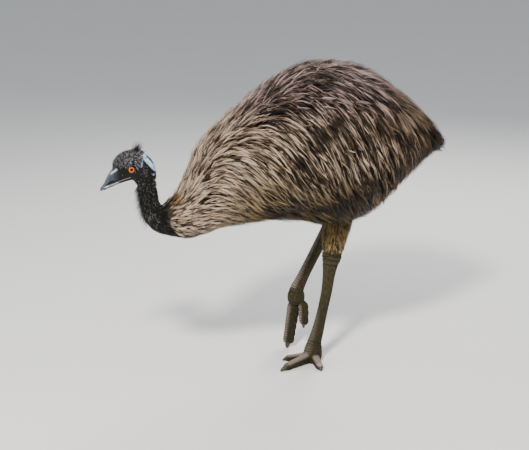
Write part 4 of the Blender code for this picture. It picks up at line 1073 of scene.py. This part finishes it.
def leg_detail(points, normals, leg):
    """Rise over the plain leg, paleness and darkness: plates, creases and pads."""
    *values, out = shank_detail(points, normals, leg)
    for toe in leg.toes:
        *toe_values, toe_out, run = toe_detail(points, normals, leg, toe)
        blend = rising(run, *TOE_BLEND) * (toe_out < out + TOE_OVERLAP)
        values = [value * (1.0 - blend) + blend * other for value, other in zip(values, toe_values)]
    return values


def fused(leg):
    """A leg and its toes as one smooth mesh."""
    last = len(leg.rows) - 1.0
    places = np.concatenate([np.linspace(0.0, KNEE, LEG_RINGS[0]),
                             np.linspace(KNEE, last, LEG_RINGS[1])[1:]])
    tubes = [grid_mesh("leg_" + leg.side, leg_grid(leg.rows, places, LEG_SIDES), leg.box)]
    tubes += [grid_mesh("toe", rounded_toe(toe, leg.front), leg.box) for toe in leg.toes]
    work = bmesh.new()
    for tube in tubes:
        work.from_mesh(tube.data)
    for tube in tubes[1:]:
        bpy.data.objects.remove(tube, do_unlink=True)
    work.to_mesh(tubes[0].data)
    work.free()
    fuse = tubes[0].modifiers.new("fuse", "REMESH")
    fuse.mode = "VOXEL"
    fuse.voxel_size = LEG_VOXEL
    even = tubes[0].modifiers.new("even", "SMOOTH")
    even.factor = LEG_EVEN
    even.iterations = LEG_EVEN_STEPS
    applied(tubes[0])
    return tubes[0]


def leg_mesh(leg):
    """A leg with its foot, with plates, creases and pads raised on it."""
    item = fused(leg)
    mesh = item.data
    points, normals = np.empty(len(mesh.vertices) * 3), np.empty(len(mesh.vertices) * 3)
    mesh.vertices.foreach_get("co", points)
    mesh.vertex_normals.foreach_get("vector", normals)
    points, normals = points.reshape(-1, 3), normals.reshape(-1, 3)
    rise, pale, dark = leg_detail(points, normals, leg)
    points = points + normals * (rise + LEG_GROW)[:, None]
    points[:, 2] = np.maximum(points[:, 2], FLOOR)
    mesh.vertices.foreach_set("co", points.ravel())
    carry(mesh, "pale", pale)
    carry(mesh, "dark", dark)
    unwrap_leg(mesh, points, leg)
    mesh.update()
    return item


def unwrap_leg(mesh, points, leg):
    """The unwrap of a leg: how far down it a point lies, and its turn round the leg's line."""
    places = np.linspace(0.0, len(leg.rows) - 1.0, LEG_MAP_STATIONS)
    table = smooth_rows(leg.rows, places)
    index, _ = nearest_station(points, table[:, :3])
    away = points - table[index, :3]
    turn = np.arctan2(away[:, 1], -away[:, 0]) / (2.0 * np.pi) % 1.0
    on_toes = np.clip(-away[:, 0] / TOE_REACH, 0.0, 1.0) * (places[index] > ANKLE)
    run = LEG_SHARE * index / (len(places) - 1.0) + (1.0 - LEG_SHARE) * on_toes
    loops = np.empty(len(mesh.loops), dtype=np.int32)
    mesh.loops.foreach_get("vertex_index", loops)
    turn = turn[loops].reshape(-1, 4)
    turn = turn[:, :1] + (turn - turn[:, :1] + 0.5) % 1.0 - 0.5
    unwrap(mesh, in_box(leg.box, np.stack([turn.ravel(), run[loops]], axis=1)))


def join_skin(skin, others):
    """One closed skin: a union with the legs."""
    holder = bpy.data.collections.new("joined")
    bpy.context.scene.collection.children.link(holder)
    for other in others:
        holder.objects.link(other)
    modifier = skin.modifiers.new("join", "BOOLEAN")
    modifier.operand_type = "COLLECTION"
    modifier.collection = holder
    modifier.operation = "UNION"
    modifier.solver = "MANIFOLD"
    applied(skin)
    for other in others:
        bpy.data.objects.remove(other, do_unlink=True)
    bpy.data.collections.remove(holder)
    skin.data.shade_smooth()


def bill_rings(rows, form):
    """Rings of a bill half, rounded on one side and squared off where the halves meet."""
    count, sides, square_top, square_bottom = form
    table = smooth_rows([head_row(row) for row in rows], np.linspace(0.0, len(rows) - 1.0, count))
    angles = turns(sides)
    return ring_points(table, angles, np.where(np.cos(angles) > 0.0, square_top, square_bottom))


def bill_upper():
    """The upper half of the bill, with a raised culmen and a slit nostril in a groove."""
    points = bill_rings(UPPER_BILL, UPPER_BILL_FORM)
    count, sides = points.shape[:2]
    turn = turns(sides)[None]
    fade = np.interp(np.arange(count), *CULMEN_FADE)[:, None]
    culmen = bump(np.minimum(turn, 2.0 * np.pi - turn), 0.0, CULMEN_HALF_ANGLE)
    rise = CULMEN_RISE * culmen * fade + raised(head_side(points), BILL_FORMS)
    return grid_mesh("bill_upper_fine", points + grid_normals(points) * rise[..., None], BILL_BOX)


def bill_lower():
    """The lower half of the bill, flat on top where it meets the upper."""
    return grid_mesh("bill_lower_fine", bill_rings(LOWER_BILL, LOWER_BILL_FORM), BILL_BOX)


def mouth_shade():
    """A near black body between the halves of the bill: painted shade inside the mouth."""
    rows = [(forward, height + LINING_HEIGHT, forward - LINING_LEAN, height - LINING_HEIGHT, width)
            for forward, height, width in MOUTH_LINING]
    return grid_mesh("mouth_shade", bill_rings(rows, LINING_FORM), BILL_BOX)


def eye_ball(name, side):
    """An eye with a slight bulge over its iris."""
    amount, power = EYE_BULGE
    work = bmesh.new()
    bmesh.ops.create_uvsphere(work, u_segments=64, v_segments=48, radius=EYE_RADIUS)
    for vertex in work.verts:
        forward, height, left = vertex.co
        grow = 1.0 + amount * (max(left * side, 0.0) / EYE_RADIUS) ** power
        place = (EYE[0] + forward * grow, side * EYE[1] + left * grow, EYE[2] + height * grow)
        vertex.co = head_place(place)
    bmesh.ops.recalc_face_normals(work, faces=work.faces)
    mesh = bpy.data.meshes.new(name)
    work.to_mesh(mesh)
    work.free()
    mesh.shade_smooth()
    return placed(name, mesh)


def lid(name, side):
    """A ring of wrinkled skin round an eye, heavier above and drawn in at front and back."""
    turn, corner = turns(LID_SEGMENTS)[None], turns(LID_SIDES)[:, None]
    upper = np.clip(np.sin(turn), 0.0, 1.0)
    thick = LID_THICKNESS[0] + LID_THICKNESS[1] * upper + LID_WAVES[1] * np.sin(LID_WAVES[0] * turn)
    reach = LID_REACH[0] + LID_REACH[1] * upper + thick * np.cos(corner)
    forward = EYE[0] + reach * LID_LONG * np.cos(turn)
    height = EYE[2] + reach * (LID_TALL - LID_HOOD * upper) * np.sin(turn)
    left = LID_OUTWARD + thick * LID_DEEP * np.sin(corner) - LID_TUCK * np.abs(np.cos(turn))
    points = head_place(np.stack([forward, side * left, height], axis=-1))
    faces, shares = wrapped_faces(LID_SIDES, LID_SEGMENTS, closed=True)
    return finished(name, points.reshape(-1, 3), faces, in_box(LID_BOX, shares))


def claw(leg, toe):
    """A blunt curved claw on the end of a toe."""
    ring = toe_grid(toe, np.linspace(CLAW_START[1], TOE_END, 3), leg.front, CLAW_SIDES)[-1]
    middle = ring.mean(axis=0)
    near, end = smooth_rows(toe.points, [CLAW_START[0], TOE_END])
    share = np.linspace(0.0, 1.0, CLAW_RINGS)[:, None, None]
    line = middle + unit(end - near) * CLAW_LENGTH[toe.label] * share - UP * CLAW_DROOP * share ** 2
    rings = line + (ring - middle) * CLAW_ROOT * np.sqrt(1.0 - CLAW_TAPER * share ** CLAW_POWER)
    rings[..., 2] = np.maximum(rings[..., 2], FLOOR)
    return grid_mesh("claw_%s_%s_fine" % (leg.side, toe.label), rings, CLAW_BOX)


class Nodes:
    """A short way to write a material's nodes."""

    def __init__(self, name, roughness, specular=0.5):
        self.material = bpy.data.materials.new(name)
        self.material.use_nodes = True
        self.tree = self.material.node_tree
        self.shader = self.tree.nodes["Principled BSDF"]
        self.shader.inputs["Roughness"].default_value = roughness
        self.shader.inputs["Specular IOR Level"].default_value = specular

    def add(self, kind, **values):
        """A node, with its properties and unlinked inputs set."""
        node = self.tree.nodes.new(kind)
        for key, value in values.items():
            if hasattr(node, key):
                setattr(node, key, value)
            else:
                node.inputs[key.replace("_", " ")].default_value = value
        return node

    def feed(self, source, socket):
        """Link an output to an input, or set the input where the source is a plain value."""
        if isinstance(source, (float, int)):
            socket.default_value = source
        elif isinstance(source, tuple):
            socket.default_value = source + (1.0,) if len(socket.default_value) == 4 else source
        elif source is not None:
            self.tree.links.new(source, socket)

    def place(self):
        """The row frame's coordinates."""
        return self.add("ShaderNodeTexCoord").outputs["Object"]

    def value(self, name):
        """A value that the mesh carries."""
        return self.add("ShaderNodeAttribute", attribute_name=name).outputs["Fac"]

    def vector(self, operation, first, second=None):
        """A sum on vectors, as a vector or a value."""
        node = self.add("ShaderNodeVectorMath", operation=operation)
        self.feed(first, node.inputs[0])
        self.feed(second, node.inputs[1])
        return node.outputs["Value" if operation in ("DOT_PRODUCT", "DISTANCE", "LENGTH") else "Vector"]

    def math(self, operation, first, second=None, third=None):
        """A sum on values."""
        node = self.add("ShaderNodeMath", operation=operation)
        for socket, source in zip(node.inputs, (first, second, third)):
            self.feed(source, socket)
        return node.outputs[0]

    def axis(self, name):
        """One axis of the row frame."""
        node = self.add("ShaderNodeSeparateXYZ")
        self.feed(self.place(), node.inputs[0])
        return node.outputs[name]

    def flat(self, first, second, spread=0.0):
        """A flat vector of two values, shaken by a noise so that edges on it are uneven."""
        node = self.add("ShaderNodeCombineXYZ")
        self.feed(first, node.inputs[0])
        self.feed(second, node.inputs[1])
        if not spread:
            return node.outputs[0]
        noise = self.add("ShaderNodeTexNoise", Scale=UNEVEN_SCALE, Detail=2.0)
        self.feed(self.place(), noise.inputs["Vector"])
        shake = self.vector("SUBTRACT", noise.outputs["Color"], (0.5, 0.5, 0.5))
        shake = self.vector("MULTIPLY", shake, (spread, spread, 0.0))
        return self.vector("ADD", node.outputs[0], shake)

    def side_view(self, spread=0.0):
        """The bird seen from its side."""
        return self.flat(self.axis("X"), self.axis("Z"), spread)

    def from_head(self, way):
        """The distance from the middle of the head, along a way."""
        moved = self.vector("SUBTRACT", self.place(), tuple(HEAD_START))
        return self.vector("DOT_PRODUCT", moved, tuple(way))

    def head_view(self, spread=0.0):
        """The head seen from its side: forward of the neck's top, and height."""
        return self.flat(self.from_head(HEAD_FORWARD), self.axis("Z"), spread)

    def off_midline(self):
        """One on the sides of the head and upper neck, nothing along the middle of the back."""
        return self.falling(self.math("ABSOLUTE", self.from_head(HEAD_LEFT)), *MIDLINE_FADE)

    def near(self, view, place, inner, outer):
        """One up to an inner distance from a point or a line on a flat view, nothing from an outer."""
        if not isinstance(place[0], tuple):
            return self.falling(self.vector("DISTANCE", view, place + (0.0,)), inner, outer)
        (x0, y0), (x1, y1) = place
        run = (x1 - x0, y1 - y0, 0.0)
        away = self.vector("SUBTRACT", view, (x0, y0, 0.0))
        share = self.math("DIVIDE", self.vector("DOT_PRODUCT", away, run), run[0] ** 2 + run[1] ** 2)
        share = self.math("MINIMUM", self.math("MAXIMUM", share, 0.0), 1.0)
        away = self.vector("SUBTRACT", away, self.vector("MULTIPLY", share, run))
        return self.falling(self.vector("LENGTH", away), inner, outer)

    def falling(self, value, inner, outer):
        """One up to an inner value, nothing from an outer one on."""
        node = self.add("ShaderNodeMapRange", From_Min=outer, From_Max=inner)
        self.feed(value, node.inputs["Value"])
        return node.outputs["Result"]

    def noise(self, scale, detail=4.0, stretch=None):
        """A noise over the row frame."""
        node = self.add("ShaderNodeTexNoise", Scale=scale, Detail=detail)
        source = self.vector("MULTIPLY", self.place(), stretch) if stretch else self.place()
        self.feed(source, node.inputs["Vector"])
        return node.outputs["Fac"]

    def ramp(self, source, stops):
        """Colours or values between stops."""
        node = self.add("ShaderNodeValToRGB")
        elements = node.color_ramp.elements
        while len(elements) < len(stops):
            elements.new(0.5)
        for element, (position, colour) in zip(elements, stops):
            element.position = position
            element.color = (colour if isinstance(colour, tuple) else (colour,) * 3) + (1.0,)
        self.feed(source, node.inputs["Fac"])
        return node.outputs["Color"]

    def mix(self, share, first, second, blend="MIX"):
        """One colour mixed into another."""
        node = self.add("ShaderNodeMix", data_type="RGBA", blend_type=blend)
        for socket, source in ((0, share), (6, first), (7, second)):
            self.feed(source, node.inputs[socket])
        return node.outputs[2]

    def marks(self, base, view, marks):
        """A colour with marks drawn on it, one after another."""
        for place, inner, outer, strength, colour in marks:
            share = self.math("MULTIPLY", self.near(view, place, inner, outer), strength)
            base = self.mix(share, base, colour)
        return base

    def bump(self, height, strength, distance):
        """A bump on the shader from a height."""
        node = self.add("ShaderNodeBump", Strength=strength, Distance=distance)
        self.feed(height, node.inputs["Height"])
        self.feed(node.outputs["Normal"], self.shader.inputs["Normal"])

    def colour(self, output):
        """The shader's base colour."""
        self.feed(output, self.shader.inputs["Base Color"])


def times(colour, factor):
    """A colour made lighter or darker."""
    return tuple(factor * channel for channel in colour)


def coat_colour(nodes, tone):
    """The body's colours, the same for skin and feathers: tone by a value, tint by region, with painted
    highlights and painted shade among the regions.
    """
    view, uneven = nodes.side_view(), nodes.side_view(COAT_UNEVEN)
    patches = nodes.ramp(nodes.noise(*COAT_PATCHES), PATCH_RAMP)
    tone = nodes.math("MULTIPLY", tone, nodes.math("MULTIPLY_ADD", patches, PATCH_SHARE, 1.0 - PATCH_SHARE))
    # Lifts: painted highlights on chest and shoulder, painted shade in gaps and where parts meet.
    for place, reach, amount in LIFTS:
        tone = nodes.math("MULTIPLY_ADD", nodes.near(uneven, place, *reach), amount, tone)
    base = nodes.ramp(tone, COAT_RAMP)
    tints = [(nodes.falling(nodes.axis("Z"), *BACK_FADE), BACK_TINT),
             (nodes.falling(nodes.axis("X"), *REAR_FADE), REAR_TINT)]
    # Tints: painted bounce light low on the belly and painted shade under the body among them.
    tints += [(nodes.near(view, place, *reach), tint) for place, reach, tint in TINTS]
    for share, tint in tints:
        base = nodes.mix(share, base, tint, "MULTIPLY")
    return base


def plumage_material():
    """Shaggy brown feathers: painted shade at the root, a painted highlight along the shaft, darker again
    at the tip.
    """
    nodes = Nodes("plumage", 0.50, 0.25)
    along = nodes.ramp(nodes.value("along"), STRAND_RAMP)
    nodes.colour(coat_colour(nodes, nodes.math("MULTIPLY", nodes.value("tone"), along)))
    return nodes.material


def down_material(name, fleck, low_fleck):
    """Short black feathers, of which some are pale, with another paleness low on the neck."""
    nodes = Nodes(name, 0.65, 0.25)
    pale = nodes.falling(nodes.value("tone"), *(FLECK_TONE + shift for shift in FLECK_FADE))
    fleck = nodes.mix(nodes.near(nodes.side_view(), *LOW_NECK), fleck, low_fleck)
    clumps = nodes.ramp(nodes.noise(*CLUMPS), CLUMP_RAMP)
    pale = nodes.math("MULTIPLY", nodes.math("MULTIPLY", pale, clumps), nodes.value("along"))
    nodes.colour(nodes.mix(pale, BLACK_DOWN, fleck))
    return nodes.material


def head_colour(nodes):
    """Black skin, pale blue at the nape, with pale lips and a painted grey highlight by the bill."""
    view = nodes.head_view(HEAD_UNEVEN)
    dark = nodes.mix(nodes.noise(240.0), SKIN_DARK, BLACK_DOWN)
    bands = [nodes.near(view, line, half * clear, half * NAPE_EDGE) for line, half, clear in NAPE_BANDS]
    blue = nodes.ramp(nodes.noise(95.0, 5.0), ((0.30, times(NAPE_BLUE, 0.35)), (0.55, NAPE_BLUE)))
    dark = nodes.mix(nodes.math("MAXIMUM", *bands), dark, blue)
    for point in NAPE_SPOTS:
        spot = nodes.math("MULTIPLY", nodes.near(view, point, SPOT_CLEAR, SPOT_REACH), nodes.off_midline())
        dark = nodes.mix(spot, dark, NAPE_BLUE)
    dark = nodes.marks(dark, nodes.head_view(LIP_UNEVEN), LIP_MARKS)
    # The skin's marks hold the painted highlight by the bill.
    return nodes.marks(dark, view, SKIN_MARKS)


def leg_colour(nodes, edges):
    """Dry brown skin in fine cells, with paler plates, dark joints between them, and painted shade in
    creases and between the pads.
    """
    leg = nodes.ramp(nodes.noise(150.0, 6.0, (1.0, 1.0, 0.5)),
                     ((0.32, times(LEG_BROWN, 0.35)), (0.68, LEG_BROWN)))
    leg = nodes.mix(1.0, leg, nodes.math("MULTIPLY_ADD", edges, 0.50, 0.50), "MULTIPLY")
    leg = nodes.mix(nodes.falling(nodes.axis("Z"), *LOW_LEG_FADE), leg, LOW_LEG_TINT, "MULTIPLY")
    # The darkness holds the joints between plates and painted shade in creases and between pads.
    for value, strength, colour in (("pale", 0.75, LEG_PALE), ("dark", 0.85, LEG_JOINTS_AND_SHADE)):
        leg = nodes.mix(nodes.math("MULTIPLY", nodes.value(value), strength), leg, colour)
    return leg


def skin_material():
    """Skin: its own colours on head and legs, and under the coat the coat's colours, with their painted
    light and shade.
    """
    nodes = Nodes("skin", 0.70, 0.18)
    cells = nodes.add("ShaderNodeTexVoronoi", feature="DISTANCE_TO_EDGE", Scale=235.0)
    nodes.feed(nodes.place(), cells.inputs["Vector"])
    edges = nodes.ramp(cells.outputs["Distance"], ((0.02, 0.0), (0.16, 1.0)))
    on_neck = nodes.falling(nodes.axis("X"), *NECK_FADE)
    colour = nodes.mix(on_neck, coat_colour(nodes, SKIN_TONE), head_colour(nodes))
    on_leg = nodes.math("MULTIPLY", nodes.falling(nodes.axis("Z"), *LEG_FADE),
                        nodes.falling(nodes.axis("X"), *BEHIND_NECK_FADE))
    nodes.colour(nodes.mix(on_leg, colour, leg_colour(nodes, edges)))
    nodes.bump(edges, 0.6, 0.0006)
    return nodes.material


def bill_material():
    """Dark slate horn with fine growth lines, a painted bluish sheen down the culmen, painted highlights at
    its base and near its tip, a pale cutting edge and painted shade in the nostril.
    """
    nodes = Nodes("bill", 0.36)
    streaks = nodes.noise(90.0, 5.0, (1.0, 1.0, 3.5))
    base = nodes.ramp(streaks, ((0.35, BILL_DARK), (0.75, times(BILL_DARK, 2.6))))
    # Painted on the horn: a bluish sheen down the culmen, highlights at the base and near the tip, and
    # shade in the nostril.
    nodes.colour(nodes.marks(base, nodes.head_view(BILL_UNEVEN), BILL_MARKS))
    nodes.bump(streaks, 0.25, 0.0005)
    return nodes.material


def plain_dark(name, roughness, colour, scale, distance):
    """A dark material with a fine grain."""
    nodes = Nodes(name, roughness)
    grain = nodes.noise(scale)
    nodes.colour(nodes.ramp(grain, ((0.30, colour), (0.80, times(colour, 3.0)))))
    nodes.bump(grain, 0.35, distance)
    return nodes.material


def eye_material(name, side):
    """A round black pupil in an orange iris, wet all over."""
    nodes = Nodes(name, 0.10, 0.35)
    outward = head_place([EYE[0], side * (EYE[1] + EYE_RADIUS), EYE[2]])
    share = nodes.math("DIVIDE", nodes.vector("DISTANCE", nodes.place(), tuple(outward)), EYE_RADIUS)
    pupil, iris = PUPIL_RADIUS / EYE_RADIUS, IRIS_RADIUS / EYE_RADIUS
    nodes.colour(nodes.ramp(share, (
        (0.0, PUPIL_BLACK), (pupil, PUPIL_BLACK), (pupil + 0.03, IRIS_EDGE),
        (iris - 0.14, IRIS_ORANGE), (iris - 0.03, IRIS_EDGE), (iris + 0.02, EYE_BLACK))))
    return nodes.material


def stand_for(item, material, nodes=()):
    """Paint a piece, let it ride on the bird, and stand for nodes."""
    item.data.materials.clear()
    item.data.materials.append(material)
    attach(item, "root")
    if nodes:
        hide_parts(*nodes)


def flesh_nodes():
    """The nodes whose skin is one piece here."""
    names = ["head", "neck_upper", "neck_middle", "neck_lower", "torso", "tail", "wing_left", "wing_right"]
    for leg in LEGS:
        names += [form + leg.side for form in ("thigh_", "shank_", "foot_")]
        names += ["toe_%s_%s" % (leg.side, toe.label) for toe in leg.toes]
    return names


def studio():
    """A pale floor and soft lights."""
    corners = [(-FLOOR_REACH, -FLOOR_REACH, 0.0), (FLOOR_REACH, -FLOOR_REACH, 0.0),
               (FLOOR_REACH, FLOOR_REACH, 0.0), (-FLOOR_REACH, FLOOR_REACH, 0.0)]
    mesh = bpy.data.meshes.new("floor")
    mesh.from_pydata(corners, [], [(0, 1, 2, 3)])
    floor = placed("floor", mesh)
    nodes = Nodes("floor_paint", 0.85)
    nodes.colour(nodes.ramp(nodes.noise(2.0, 2.0), FLOOR_PAINT))
    mesh.materials.append(nodes.material)
    world = bpy.data.worlds.new("studio")
    world.use_nodes = True
    world.node_tree.nodes["Background"].inputs["Color"].default_value = SKY
    world.node_tree.nodes["Background"].inputs["Strength"].default_value = SKY_STRENGTH
    bpy.context.scene.world = world
    for name, place, power, size, colour in LIGHTS:
        light = bpy.data.lights.new(name, "AREA")
        light.energy, light.size, light.color = power, size, colour
        item = placed(name, light)
        item.location = place
        item.rotation_euler = (Vector(LOOK_AT) - Vector(place)).to_track_quat("-Z", "Y").to_euler()


def camera():
    """A camera at the photo's view."""
    data = bpy.data.cameras.new("camera")
    data.lens, data.sensor_width, data.sensor_fit = CAMERA_LENS, CAMERA_SENSOR, "HORIZONTAL"
    item = placed("camera", data)
    item.location = CAMERA_PLACE
    item.rotation_euler = (math.radians(90.0 - CAMERA_PITCH), 0.0, -math.radians(CAMERA_PAN))
    bpy.context.scene.camera = item


def build_skin():
    """The one skin of the whole bird."""
    skin = skin_tube()
    join_skin(skin, [leg_mesh(leg) for leg in LEGS])
    stand_for(skin, skin_material(), flesh_nodes())


def build_coat():
    """All the feathers."""
    surface = bird_surface()
    brown = plumage_material()
    pieces = plumage(surface)
    for leg in LEGS:
        pieces += thigh_feathers(leg)
    for piece in pieces:
        stand_for(piece, brown)
    black = down_material("dark_down", FLECK, FLECK)
    materials = {"neck_down": down_material("neck_down", NECK_FLECK, LOW_FLECK),
                 "neck_fringe": down_material("fringe", FRINGE, FRINGE)}
    draw = np.random.default_rng(DOWN_SEED)
    for patch in PATCHES:
        stand_for(short_feathers(surface, patch, draw), materials.get(patch.name, black))


def build_head():
    """The bill, the mouth and the eyes."""
    horn = bill_material()
    stand_for(bill_upper(), horn, ["bill_upper"])
    stand_for(bill_lower(), horn, ["bill_lower"])
    # The mouth's lining is painted near black, as the shade inside the mouth.
    stand_for(mouth_shade(), plain_dark("mouth", 0.7, MOUTH_SHADE, 300.0, 0.0002))
    bare = plain_dark("lid_skin", 0.5, BLACK_DOWN, 900.0, 0.0004)
    for label, side in (("left", 1.0), ("right", -1.0)):
        ball = eye_ball("eye_%s_fine" % label, side)
        stand_for(ball, eye_material("eye_" + label, side), ["eye_" + label])
        stand_for(lid("lid_" + label, side), bare)


def build_claws():
    """The claws of both feet."""
    horn = plain_dark("claw_horn", 0.58, CLAW_DARK, 140.0, 0.0004)
    for leg in LEGS:
        for toe in leg.toes:
            stand_for(claw(leg, toe), horn, ["claw_%s_%s" % (leg.side, toe.label)])


build_skin()
build_coat()
build_head()
build_claws()
studio()
camera()
